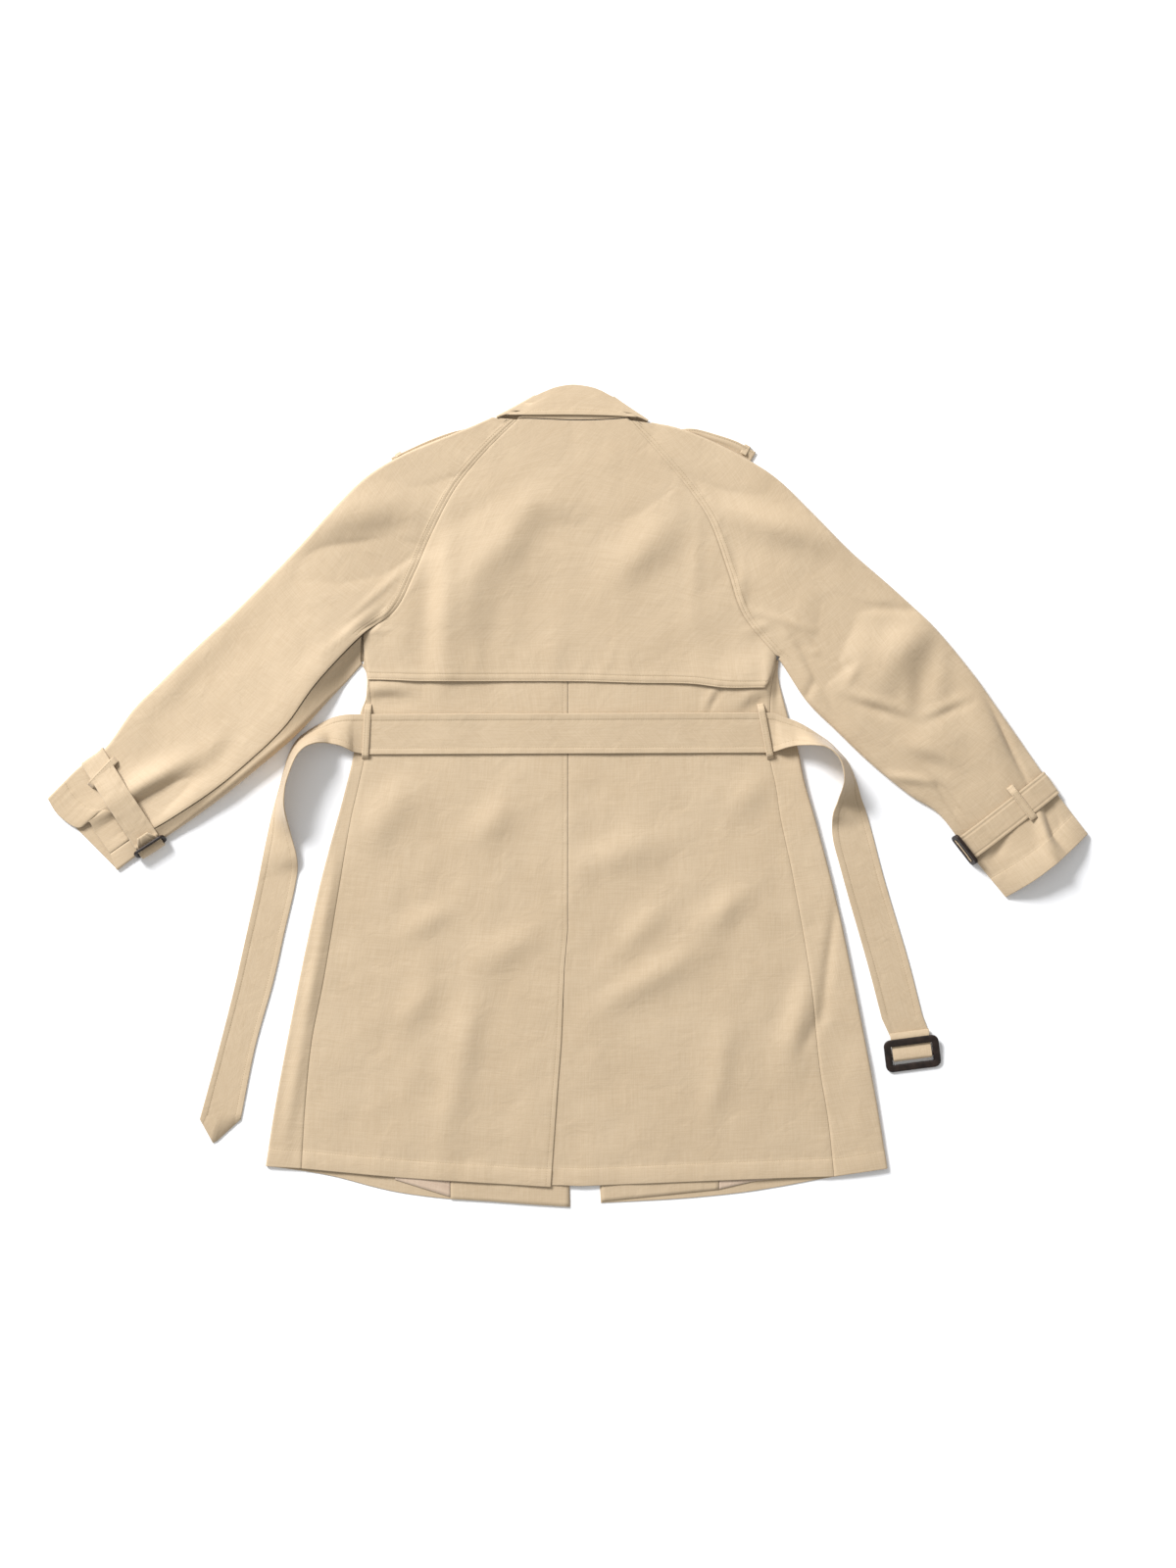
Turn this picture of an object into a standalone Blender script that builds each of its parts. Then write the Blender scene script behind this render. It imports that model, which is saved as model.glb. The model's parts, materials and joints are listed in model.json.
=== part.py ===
"""Thigh-length raglan trench coat, laid flat on its front with its back upwards.

The coat lies on the plane z = 0, with its collar towards +Y. Left and right are the wearer's, so the
left sleeve lies towards -X. Lengths are millimetres and become metres in to_metres. Every cloth piece is
an open sheet through rows of points, given its wall by Solidify. A sheet's point has a level: 0 is the
wall that lies on the floor, 1 the wall above it, and a side fold runs from one to the other.
"""

import math

import bmesh
import bpy
import numpy as np

# Driving dimensions
cloth = 1.2  # wall of the shell cloth with its lining
belt_cloth = 2.2
strap_cloth = 1.6
loop_cloth = 1.4
epaulette_cloth = 1.5
epaulette_loop_cloth = 1.0
belt_width = 50.0
cuff_strap_width = 33.0
body_gap = 1.7  # between the inner faces of front and back
shield_gap = 0.9  # between the back and the storm shield over it
rest_gap = 0.6  # under what lies on top of the coat
seam_gap = 0.3
fold_inset = 1.8  # how far a side fold's inner face curves in
loop_width = 7.0
vent_lap = 1.5  # how far the left back rises over the vent's underlap
vent_top = -168.0
belt_line = 78.0  # the belt's middle on the centre back
cuff_rise = 4.4  # how far the strapped cuffs stand off the floor

# Soft folds of the laid cloth. A step is high on its left side and low on its right, a ridge has none of it
fold_columns = ("x", "y", "heading", "half_length", "half_width", "height", "step")
folds = (
    (-163, 235, 88, 85, 34, -2.8, 1),
    (-110, 262, 78, 95, 58, 5, 0),
    (-74, 318, 50, 55, 26, 3.8, 0),
    (99, 311, 46, 52, 26, 4.8, 0),
    (228, 137, 60, 45, 32, 4, 0),
    (-260, 324, 12, 72, 32, 5.5, 1),
    (-305, 171, 52, 60, 26, 3.5, 0),
    (-390, 79, 45, 65, 26, 2.5, 0),
    (-462, 4, 42, 45, 26, 2, 0),
    (-370, 130, 45, 160, 60, 3, 0),
    (-523, 4, 30, 62, 26, 7.7, 1),
    (258, 338, -14, 75, 26, 4.1, 0),
    (423, 196, 32, 40, 26, 3.2, 0),
    (392, 155, 70, 40, 26, 3.5, 0),
    (362, 180, 70, 45, 34, -4, 1),
    (526, 76, -64, 62, 26, 3.9, 0),
    (459, 70, 10, 45, 26, 1.8, 0),
    (500, 20, -55, 80, 45, 2.5, 0),
    (601, -50, 107, 38, 22, 7, 1),
    (195, -143, 42, 42, 26, 2.3, 0),
    (109, -223, 31, 72, 26, 2.1, 0),
    (69, -70, 20, 60, 26, 2, 0),
    (231, 9, 60, 38, 26, 2.5, 0),
    (289, -277, 76, 50, 26, 2.8, 0),
    (372, -290, -79, 200, 40, 3, 0),
    (302, 0, -75, 110, 32, 3, 0),
    (-224, -24, 53, 50, 26, 3.3, 0),
    (-90, -31, 40, 36, 26, 2, 0),
    (-71, -186, 30, 45, 26, 1.8, 0),
    (-132, -332, 79, 95, 26, 2.5, 0),
    (-181, -253, 60, 36, 26, 1.7, 0),
)

# Where a strapped cuff is held off the floor
cuff_folds = (
    (-552, -4, 121, 66, 46, cuff_rise, 0),
    (548, -25, 37.7, 66, 46, cuff_rise, 0),
)

# What lies under the fronts and sleeves lifts them: collar leaves, epaulettes and cuff straps
underlays = (
    (-70, 430, 80, 95, 78, 1.8, 0),
    (82, 430, 100, 95, 78, 1.8, 0),
    (-170, 428, 24, 84, 46, 3.4, 0),
    (182, 430, -22, 84, 46, 3.4, 0),
    (-552, -4, 121, 90, 46, 2.3, 0),
    (548, -25, 37.7, 90, 46, 2.3, 0),
)

# Stations of each sleeve from the neck to the hem: the overarm fold, the seam that bounds the upper half
# (raglan seam, then underarm seam) and the line that bounds the lower half (front raglan, then fold)
sleeve_columns = ("outer_x", "outer_y", "seam_x", "seam_y", "under_x", "under_y")
sleeve_left_rows = (
    (-93, 471, -61, 468, -73, 443),
    (-122, 459, -97, 433, -98, 416),
    (-162, 443, -137, 385, -127, 374),
    (-207, 424, -167, 329, -155, 327),
    (-252, 396, -190, 277, -181, 280),
    (-295, 352, -214, 231, -210, 228),
    (-342, 301, -256, 199, -255, 165),
    (-406, 236, -310, 141, -297, 118),
    (-461, 185, -350, 86, -337, 75),
    (-506, 141, -398, 40, -386, 33),
    (-540, 107, -443, 4, -432, -4),
    (-574, 60, -505, -36, -484, -41),
    (-610, 33, -540, -52, -532, -72),
    (-647, -3, -568, -71, -559, -92),
)
sleeve_right_rows = (
    (108, 463.5, 76, 467.5, 88, 443),
    (136, 459, 112, 428, 114, 412),
    (178, 443, 148, 386, 142, 370),
    (222, 421, 178, 341, 166, 325),
    (262, 395, 200, 281, 192, 272),
    (304, 354, 220, 224, 216, 222),
    (350, 307, 263, 171, 263, 170.2),
    (406, 258, 298, 118, 298, 118),
    (458, 209, 334, 82, 334, 82),
    (503, 155, 378, 40, 378, 40),
    (540, 103, 425, 2, 425, 2),
    (573, 56, 462, -22, 462, -22),
    (609, 4, 496, -65, 496, -65),
    (648, -47, 546, -126, 546, -126),
)
# How far each sleeve's upper half is puffed up, station by station: at its seam, along its middle and at the
# overarm fold. Beyond the underarm seam that shows, the cloth falls again towards its fold
puff_columns = ("seam", "middle", "outer", "fall")
sleeve_left_puff = (
    (0, 0, 0, 0),
    (0, 0, 0, 0),
    (0, 0, 0, 0),
    (0, 1, 2, 0),
    (0, 3, 4, 0),
    (0, 5, 5, 2),
    (3, 8, 5, 7),
    (13, 9, 5, 7),
    (14, 9, 5, 2),
    (14, 9, 5, 1),
    (12, 7, 4, 3),
    (7, 4, 3, 4),
    (2, 0, 0, 1),
    (0, 0, 0, 0),
)
sleeve_right_puff = (
    (0, 0, 0, 0),
    (0, 0, 0, 0),
    (0, 0, 0, 0),
    (0, 1, 2, 0),
    (0, 3, 4, 0),
    (0, 5, 5, 0),
    (1, 7, 5, 0),
    (4, 9, 5, 0),
    (5, 10, 5, 0),
    (5, 10, 5, 0),
    (4, 9, 4, 0),
    (3, 7, 3, 0),
    (0, 6, 1, 0),
    (1, 21, 2, 0),
)
fold_share = 0.3  # how much a puffed fold is rounder
floor_inset = 10.0  # the lower half begins this far in from a fold
armpit_row = 6
rows_above_armpit = 10
rows_below_armpit = 16
side_seam_rows = 18

# The cuff's hem, from the overarm fold to the underarm
hem_left = ((-647, -3), (-637, -19), (-622, -32), (-608, -38), (-595, -31), (-586, -46), (-568, -71))
hem_right = ((648, -47), (612, -79), (580, -104), (546, -126))

# Lines of the body, from the armpit down
side_fold_left = ((-255, 163), (-249, 150), (-250, 122), (-257, 102), (-264, 57), (-278, -2), (-308, -113),
                  (-336, -243), (-361, -373), (-375, -460))
side_fold_right = ((263, 168), (263, 145), (275, 97), (287, 58), (296, 15), (314, -48), (339, -146),
                   (363, -263), (384, -373), (399, -463))
side_seam_left = ((-253, 196), (-247, 158), (-244, 118), (-248, 82), (-251, 52), (-258, 18), (-270, -36),
                  (-284, -118), (-302, -226), (-317, -303), (-325, -380), (-330, -463))
side_seam_right = ((260, 168), (254, 140), (252, 100), (251, 70), (253, 43), (260, 10), (266, -30),
                   (282, -106), (302, -223), (314, -336), (325, -405), (332, -473))
back_hem_left = ((-330, -463), (-212, -474), (-120, -480), (-20, -486))
back_hem_right = ((-19, -484), (14, -485), (117, -481), (241, -476), (332, -473))
vent_edge = ((1, 480), (1, -168), (-3, -213), (-7, -308), (-12, -371), (-20, -487))
neck_seam = ((-61, 469), (-42, 469), (12, 467), (51, 468), (76, 470))
shield_hem = ((-247, 145), (-210, 144), (-169, 143), (1, 143), (86, 141), (152, 140), (196, 135), (246, 135))
front_hem_left = ((4, -511), (-45, -508), (-98, -504), (-148, -501), (-203, -494), (-241, -486),
                  (-282, -475), (-317, -468), (-375, -460))
front_hem_right = ((42, -506), (136, -501), (210, -494), (263, -486), (318, -476), (399, -463))
front_neck_left = ((-4, 388), (-30, 400), (-58, 424))
front_neck_right = ((22, 388), (45, 400), (73, 424))
front_edge_left = ((4, -511), (-1, -300), (-4, 388))
front_edge_right = ((42, -506), (34, -300), (22, 388))

# The collar fall's leaves: roll line and free edge. It folds at each side of the neck, so that its two
# ends lie under the fronts
leaf_columns = ("roll_x", "roll_y", "edge_x", "edge_y")
left_leaf = ((-35, 402, -74, 374), (-60, 432, -103, 405), (-58, 462, -104, 440), (-43, 491, -90, 465))
back_leaf = ((-30, 502.5, -76, 474), (-13, 509, -42, 474), (8, 512, 8, 474), (30, 509, 55, 473),
             (43, 504.5, 88, 471))
right_leaf = ((59, 490, 103, 461), (74, 460, 119, 438), (76, 431, 118, 404), (52, 402, 90, 373))
left_collar_fold = (-40, 499, -88.5, 473)
right_collar_fold = (58, 497.5, 101.5, 468.5)
fall_inner_height = 7.4  # the free edge clears the shoulders
crest_inner_height = 4.0

# The belt's two ends, from the belt loop outwards: outer and inner edge. Where these lie closer than the
# belt is wide, the belt stands up, its inner edge higher by what is missing
belt_columns = ("outer_x", "outer_y", "inner_x", "inner_y")
belt_left_rows = (
    (-264, 102, -266, 55),
    (-278, 101, -280, 62),
    (-293, 97, -293, 65),
    (-308, 89, -304, 66),
    (-323, 80, -314, 64.5),
    (-336, 69, -324, 60),
    (-345, 53, -333, 50),
    (-351, 34, -341, 32),
    (-357, 12, -347, 11),
    (-364, -13, -348, -14),
    (-372, -45, -342, -47),
    (-379, -78, -335, -79),
    (-387, -118, -338, -110),
    (-401, -181, -352, -171),
    (-415, -243, -366, -233),
    (-436, -325, -388, -312),
    (-457, -402, -406, -402),
)
belt_tip = (-440, -433)
belt_right_rows = (
    (258, 103, 259, 55.2),
    (271, 98, 273, 60),
    (285, 93, 286, 62.5),
    (299, 85, 300, 63),
    (313, 76, 311, 62.5),
    (326, 67, 321, 60),
    (338, 55, 331, 53),
    (349, 42, 339, 40),
    (358, 22, 342, 18),
    (366, -2, 336, -5),
    (373, -22, 330, -24),
    (381, -51, 331, -53),
    (390, -86, 340, -88),
    (401, -125, 351, -128),
    (424, -202, 374, -208),
    (442, -272, 392, -277),
)

# Epaulettes: outer edge and hidden inner edge, from the neck to the shoulder point
epaulette_columns = ("outer_x", "outer_y", "inner_x", "inner_y")
epaulette_left_rows = (
    (-128, 457, -118, 436),
    (-150, 451, -138, 425),
    (-176, 441, -163, 413),
    (-204, 428, -190, 400),
    (-219, 421, -206, 393),
)
epaulette_right_rows = (
    (141, 457, 131, 436),
    (160, 457, 148, 428),
    (186, 450, 170, 418),
    (212, 441, 194, 407),
    (235, 428, 216, 396),
)

# The cuff straps' ends beside their buckles: distance in from the underarm edge, and height
strap_columns = ("along", "height")
left_strap_tip = ((13.5, 22.3), (9.5, 20.8), (5.5, 18.2), (2.4, 15.2), (-1.4, 14.8), (-5.6, 14.6),
                  (-9.2, 11.6), (-10.6, 7.4), (-9.8, 3.6), (-8.2, 1.3), (-5, 0.8))
left_strap_hook = ((0.5, 9.0), (-2.6, 9.2), (-5.1, 10.2), (-5.8, 12.3))
right_strap_hook = ((0.8, 9.0), (-2.4, 7.8), (-5.1, 8.1), (-6.3, 10.3))

# The buckle: middle of its frame, its turn, and its parts
buckle_x = 429.5
buckle_y = -320.0
buckle_turn = 7.4
buckle_size = (69.0, 41.0)
buckle_rail = (9.0, 3.6)  # width and thickness
buckle_corner = 7.0
buckle_slope = 8.0  # the frame leans on the belt's fold
buckle_height = 4.6
bar_along = 3.6  # from the buckle's middle towards the belt's end
buckle_bar_radius = 1.5
cuff_buckle_size = (44.0, 20.0)
cuff_buckle_rail = (4.8, 3.2)
cuff_buckle_corner = 4.0
cuff_bar_radius = 1.3


def columns_of(rows):
    """The table's rows as an array of numbers."""
    return np.array(rows, float)


def spline(points, count):
    """Points evenly spaced along a Catmull-Rom curve through the given ones."""
    points = np.asarray(points, float)
    padded = np.vstack([2 * points[0] - points[1], points, 2 * points[-1] - points[-2]])
    steps = np.linspace(0, len(points) - 1, 12 * (len(points) - 1) + 1)
    curve = np.array([catmull_rom(padded, step) for step in steps])
    lengths = np.concatenate([[0], np.cumsum(np.linalg.norm(np.diff(curve, axis=0), axis=1))])
    wanted = np.linspace(0, lengths[-1], count)
    return np.stack([np.interp(wanted, lengths, column) for column in curve.T], axis=1)


def catmull_rom(padded, step):
    """One point of the curve, at a place counted in the given points."""
    index = min(int(step), len(padded) - 4)
    t = step - index
    a, b, c, d = padded[index:index + 4]
    return 0.5 * (2 * b + (c - a) * t + (2 * a - 5 * b + 4 * c - d) * t * t + (3 * b - a - 3 * c + d) * t ** 3)


def rows_at(rows, steps):
    """A table's rows read between its own rows, smoothly."""
    table = columns_of(rows)
    padded = np.vstack([2 * table[0] - table[1], table, 2 * table[-1] - table[-2]])
    return np.array([catmull_rom(padded, step) for step in steps])


def smooth_step(t):
    t = np.clip(t, 0, 1)
    return t * t * (3 - 2 * t)


def hills(x, y, table, power):
    """Long hills over the plan: soft ones at power 2, flat-topped ones at a higher power."""
    for middle_x, middle_y, heading, length, width, height, step in table:
        cosine = math.cos(math.radians(heading))
        sine = math.sin(math.radians(heading))
        along = (x - middle_x) * cosine + (y - middle_y) * sine
        across = (y - middle_y) * cosine - (x - middle_x) * sine
        shape = height * (1 - step + 1.6 * step * across / width)
        yield shape * np.exp(-(along / length) ** power - (across / width) ** power)


def billow(x, y):
    """How far the upper wall stands off its lowest place. The belt presses the body flat."""
    pressed = 0.92 * np.exp(-((y - belt_line) / 44) ** 2) * smooth_step((300 - np.abs(x)) / 40)
    return sum(hills(x, y, folds, 2)) * (1 - pressed) + sum(hills(x, y, cuff_folds, 2))


def lifted_by(x, y):
    """Lift of the lower wall over what lies under it."""
    lifts = list(hills(x, y, underlays, 6))
    return np.max(lifts, axis=0)


def floor_wall(x, y):
    """Inner face of a wall that lies on the floor. It rises only under the higher billows."""
    over = billow(x, y) - 1.8
    settled = np.where(over < -0.5, 0, np.where(over > 0.5, over, (over + 0.5) ** 2 / 2))
    return cloth + np.maximum(settled, lifted_by(x, y))


def back_wall(x, y):
    """Inner face of the back and of the upper halves of the sleeves."""
    return cloth + body_gap + np.maximum(billow(x, y), lifted_by(x, y) - 0.8)


def shield_wall(x, y):
    return back_wall(x, y) + cloth + shield_gap


def coons(bottom, top, left, right):
    """A patch between four boundary rows that share their corners. Rows run from bottom to top."""
    across = np.linspace(0, 1, len(bottom))[None, :, None]
    along = np.linspace(0, 1, len(left))[:, None, None]
    bottom, top = np.asarray(bottom)[None], np.asarray(top)[None]
    left, right = np.asarray(left)[:, None], np.asarray(right)[:, None]
    corners = (
        (1 - across) * (1 - along) * bottom[:, :1]
        + across * (1 - along) * bottom[:, -1:]
        + (1 - across) * along * top[:, :1]
        + across * along * top[:, -1:]
    )
    return (1 - along) * bottom + along * top + (1 - across) * left + across * right - corners


def material(name, colour, roughness):
    made = bpy.data.materials.get(name)
    if made:
        return made
    made = bpy.data.materials.new(name)
    made.use_nodes = True
    shader = made.node_tree.nodes["Principled BSDF"]
    shader.inputs["Base Color"].default_value = (*colour, 1)
    shader.inputs["Roughness"].default_value = roughness
    shader.inputs["Metallic"].default_value = 0
    return made


def gabardine():
    return material("cotton_gabardine", (0.72, 0.57, 0.37), 0.85)


def lining_cloth():
    return material("lining_twill", (0.76, 0.58, 0.43), 0.6)


def buckle_leather():
    return material("covered_buckle", (0.045, 0.03, 0.026), 0.5)


def to_metres(points):
    return [tuple(float(value) / 1000 for value in point) for point in points]


def add_object(name, mesh, finish):
    part = bpy.data.objects.new(name, mesh)
    coat.objects.link(part)
    mesh.materials.append(finish)
    return part


def add_sheet(name, grid, wall, faces_up, finish, skipped=None, offset=1.0):
    """An open sheet through a grid of points, with its wall on its outer side."""
    grid = np.asarray(grid, float)
    row_count, column_count = grid.shape[:2]
    kept = np.ones((row_count - 1, column_count - 1), bool) if skipped is None else ~skipped
    quads = []
    for row, column in zip(*np.nonzero(kept)):
        first = row * column_count + column
        quads.append((first, first + 1, first + column_count + 1, first + column_count))
    corners = grid.reshape(-1, 3)[np.array(quads)]
    upward = np.cross(corners[:, 2] - corners[:, 0], corners[:, 3] - corners[:, 1])[:, 2].sum()
    if (upward > 0) != faces_up:
        quads = [quad[::-1] for quad in quads]
    mesh = bpy.data.meshes.new(name)
    mesh.from_pydata(to_metres(grid.reshape(-1, 3)), [], quads)
    tidy = bmesh.new()
    tidy.from_mesh(mesh)
    loose = [vertex for vertex in tidy.verts if not vertex.link_faces]
    bmesh.ops.delete(tidy, geom=loose, context="VERTS")
    tidy.to_mesh(mesh)
    tidy.free()
    mesh.shade_smooth()
    part = add_object(name, mesh, finish)
    solid = part.modifiers.new("wall", "SOLIDIFY")
    solid.thickness = wall / 1000
    solid.offset = offset
    solid.use_even_offset = True
    solid.use_rim = True
    return part


def levelled(flat, level, upper=back_wall):
    """Adds the height to flat points, from the floor wall at level 0 to the upper wall at level 1."""
    x, y = flat[..., 0], flat[..., 1]
    height = (1 - level) * floor_wall(x, y) + level * upper(x, y)
    return np.concatenate([flat, height[..., None]], axis=-1)


def side_roll(puff=0.0):
    """Inset and level of the points round a side fold, from the upper wall to the floor wall."""
    turns = np.radians((90, 40, 0, -40, -90))
    radius = fold_inset + fold_share * puff
    return [(cloth + radius * (1 - math.cos(turn)), (1 + math.sin(turn)) / 2) for turn in turns]


def inset_line(line, other, inset):
    """The line moved towards the other one, point by point."""
    towards = other - line
    length = np.maximum(np.linalg.norm(towards, axis=-1, keepdims=True), 1e-6)
    return line + towards / length * np.minimum(inset, 0.45 * length)


def sleeve_steps():
    """Places in the sleeves' tables, so that the armpit is a row."""
    above = np.linspace(0, armpit_row, rows_above_armpit)
    below = np.linspace(armpit_row, len(sleeve_left_rows) - 1, rows_below_armpit + 1)[1:]
    return np.concatenate([above, below])


def sleeve_lines(table):
    """The sleeve's three lines. Body pieces share the raglan rows."""
    rows = rows_at(table, sleeve_steps())
    return rows[:, 0:2], rows[:, 2:4], rows[:, 4:6]


def puff_at(puff, fractions):
    """The puff at fractions of the way from the seam to the overarm fold, for every row of the sleeve."""
    rows = rows_at(puff, sleeve_steps())[:, None]
    across = np.atleast_1d(fractions)[None, :]
    seam, middle, outer = rows[..., 0], rows[..., 1], rows[..., 2]
    shape = seam * (1 - across) * (1 - 2 * across) + middle * 4 * across * (1 - across)
    return np.maximum(shape + outer * across * (2 * across - 1), 0)


def sleeve_upper(flat_rows, puff):
    """Height of the upper half: at the storm shield's level along the raglan seam, lower towards the cuff."""
    fade = 1 - smooth_step((sleeve_steps()[:, None] - 5.1) / 2.6)
    x, y = flat_rows[..., 0], flat_rows[..., 1]
    return back_wall(x, y) + fade * (cloth + shield_gap) + puff


def upper_half(table, hem, puff, seam_shows):
    """The upper half's points from its seam to where the overarm fold begins to turn."""
    outer, seam, _ = sleeve_lines(table)
    fractions = np.linspace(0, 1, 11)
    below = np.arange(len(outer)) >= rows_above_armpit - 1
    puffed = puff_at(puff, fractions)
    seam_inset = side_roll(puffed[:, :1])[0][0]
    start = inset_line(seam, outer, np.where((below & (not seam_shows))[:, None], seam_inset, seam_gap))
    end = inset_line(outer, seam, side_roll(puffed[:, -1:])[0][0])
    flat = start[:, None] + (end - start)[:, None] * fractions[None, :, None]
    cuff_line = spline(hem[::-1], len(fractions))
    bend = cuff_line - (seam[-1] + (outer[-1] - seam[-1]) * fractions[:, None])
    hem_weight = smooth_step((sleeve_steps() - 11.5) / 1.5)
    flat = flat + bend[None] * hem_weight[:, None, None]
    return np.concatenate([flat, sleeve_upper(flat, puffed)[..., None]], axis=-1)


def fold_columns_of(line, other, puff):
    """Columns round a fold of a sleeve, from its upper wall down to the floor wall."""
    columns = []
    for inset, level in side_roll(puff)[1:]:
        flat = inset_line(line, other, inset)[:, None]
        low = floor_wall(flat[..., 0], flat[..., 1])
        height = (1 - level) * low + level * sleeve_upper(flat, puff)
        columns.append(np.concatenate([flat, height[..., None]], axis=-1))
    return columns


def add_sleeve(side, table, hem, puff, seam_shows):
    """The two halves of a raglan sleeve. Where the underarm seam shows, the lower half wraps up to it;
    otherwise the upper half wraps down round the underarm fold."""
    outer, seam, under = sleeve_lines(table)
    armpit = rows_above_armpit - 1
    below = np.arange(len(outer)) >= armpit
    seam_puff, outer_puff = puff_at(puff, 0.0), puff_at(puff, 1.0)
    columns = [upper_half(table, hem, puff, seam_shows)]
    columns += fold_columns_of(outer, seam, outer_puff)
    columns.append(levelled(inset_line(outer, seam, floor_inset)[:, None], 0.0))
    skipped = None
    if not seam_shows:
        wrap = fold_columns_of(seam, outer, seam_puff)[::-1]
        wrap.insert(0, levelled(inset_line(seam, outer, floor_inset)[:, None], 0.0))
        columns = wrap + columns
        skipped = np.zeros((len(outer) - 1, sum(c.shape[1] for c in columns) - 1), bool)
        skipped[:armpit, :len(wrap)] = True
    grid = np.concatenate(columns, axis=1)
    add_sheet(f"sleeve_back_{side}", grid, cloth, True, gabardine(), skipped)

    far = inset_line(outer, under, floor_inset + seam_gap)
    fall = rows_at(puff, sleeve_steps())[:, 3:]
    strip_puff = np.maximum(seam_puff - fall, 0)
    near_inset = side_roll(strip_puff)[-1][0] if seam_shows else floor_inset + 1.2
    near = inset_line(under, outer, np.where(below[:, None], near_inset, seam_gap))
    lower_flat = far[:, None] + (near - far)[:, None] * np.linspace(0, 1, 7)[None, :, None]
    columns = [levelled(lower_flat, 0.0)]
    skipped = None
    if seam_shows:
        columns += fold_columns_of(under, outer, strip_puff)[-2::-1]
        seam_side = inset_line(seam, under, seam_gap)[:, None]
        first = inset_line(under, outer, side_roll(strip_puff)[0][0])[:, None]
        for share in (0.0, 0.35, 0.7):
            flat = first * (1 - share) + seam_side * share
            height = sleeve_upper(flat, strip_puff * (1 - share) + seam_puff * share)
            columns.append(np.concatenate([flat, height[..., None]], axis=-1))
        columns.append(np.concatenate([seam_side, sleeve_upper(seam_side, seam_puff)[..., None]], axis=-1))
        skipped = np.zeros((len(outer) - 1, sum(c.shape[1] for c in columns) - 1), bool)
        skipped[:armpit, 6:] = True
    add_sheet(f"sleeve_front_{side}", np.concatenate(columns, axis=1), cloth, False, gabardine(), skipped)


def raglan_rows(table, which):
    """The body's edge along the raglan seam, on its back or its front, from the neck to the armpit."""
    return sleeve_lines(table)[which][:rows_above_armpit]


def add_front(side, table, fold, seam, hem, neck, edge):
    """A front: flat on the floor from its edge to the side fold, then up and over to the side seam."""
    raglan = raglan_rows(table, 2)
    roll = side_roll()
    seam_rows = spline(seam, side_seam_rows)[:0:-1]
    fold_rows = spline(fold[::-1], side_seam_rows - 1)
    edge_rows = spline(edge, side_seam_rows - 1)
    floor_fold = inset_line(fold_rows, edge_rows, roll[0][0])
    top = np.vstack([neck, raglan[:-1], floor_fold[-1:]])
    bottom = spline(hem, len(top))
    bottom[0], bottom[-1] = edge_rows[0], floor_fold[0]
    top[0] = edge_rows[-1]
    flat = coons(bottom, top, edge_rows, floor_fold)
    columns = [levelled(flat, 0.0)]
    for inset, level in roll[::-1][1:]:
        columns.append(levelled(inset_line(fold_rows, edge_rows, inset)[:, None], level))
    columns.append(levelled(inset_line(seam_rows, fold_rows, seam_gap)[:, None], 1.0))
    add_sheet(f"front_{side}", np.concatenate(columns, axis=1), cloth, False, gabardine())


def add_back_left():
    """The left back, whose edge laps over the vent's underlap."""
    raglan = raglan_rows(sleeve_left_rows, 1)
    side = np.vstack([raglan[:-1], spline(side_seam_left, side_seam_rows)])
    middle_y = np.interp(side[:, 1], (side[-1, 1], side[0, 1]), (back_hem_left[-1][1], neck_seam[2][1]))
    vent = columns_of(vent_edge)
    middle = np.stack([np.interp(-middle_y, -vent[:, 1], vent[:, 0]) - seam_gap, middle_y], axis=1)
    column_count = 15
    bottom = spline(back_hem_left, column_count)
    top = spline(((-61, 469), (-42, 469), (1, 467)), column_count)
    bottom[0], bottom[-1], top[0], top[-1] = side[-1], middle[-1], side[0], middle[0]
    flat = coons(bottom, top, side[::-1], middle[::-1])
    height = back_wall(flat[..., 0], flat[..., 1])
    lap = smooth_step((flat[..., 0] + 95) / 30) * smooth_step((vent_top + 40 - flat[..., 1]) / 30)
    grid = np.concatenate([flat, (height + vent_lap * lap)[..., None]], axis=-1)
    add_sheet("back_left", grid, cloth, True, gabardine())


def add_back_right():
    """The right back, with the underlap that carries on under the left one below the vent's top."""
    raglan = raglan_rows(sleeve_right_rows, 1)
    side = np.vstack([raglan[:-1], spline(side_seam_right, side_seam_rows)])
    middle_y = np.interp(side[:, 1], (side[-1, 1], side[0, 1]), (back_hem_right[0][1], neck_seam[2][1]))
    lap_row = int(np.argmin(np.abs(middle_y - vent_top)))
    middle_y[lap_row] = vent_top - 6
    middle = np.stack([np.full(len(middle_y), 1 + seam_gap), middle_y], axis=1)
    column_count = 15
    bottom = spline(back_hem_right[1:], column_count)
    top = spline(((1, 467), (51, 468), (76, 470)), column_count)
    bottom[0], bottom[-1], top[0], top[-1] = middle[-1], side[-1], middle[0], side[0]
    flat = coons(bottom, top, middle[::-1], side[::-1])
    lap_x = np.array([-46.0, -22.0])
    lap = np.stack(np.broadcast_arrays(lap_x[None, :], flat[:, :1, 1]), axis=-1)
    flat = np.concatenate([lap, flat], axis=1)
    skipped = np.zeros((flat.shape[0] - 1, flat.shape[1] - 1), bool)
    skipped[len(middle_y) - 1 - lap_row:, :2] = True
    grid = np.concatenate([flat, back_wall(flat[..., 0], flat[..., 1])[..., None]], axis=-1)
    add_sheet("back_right", grid, cloth, True, gabardine(), skipped)


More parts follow.
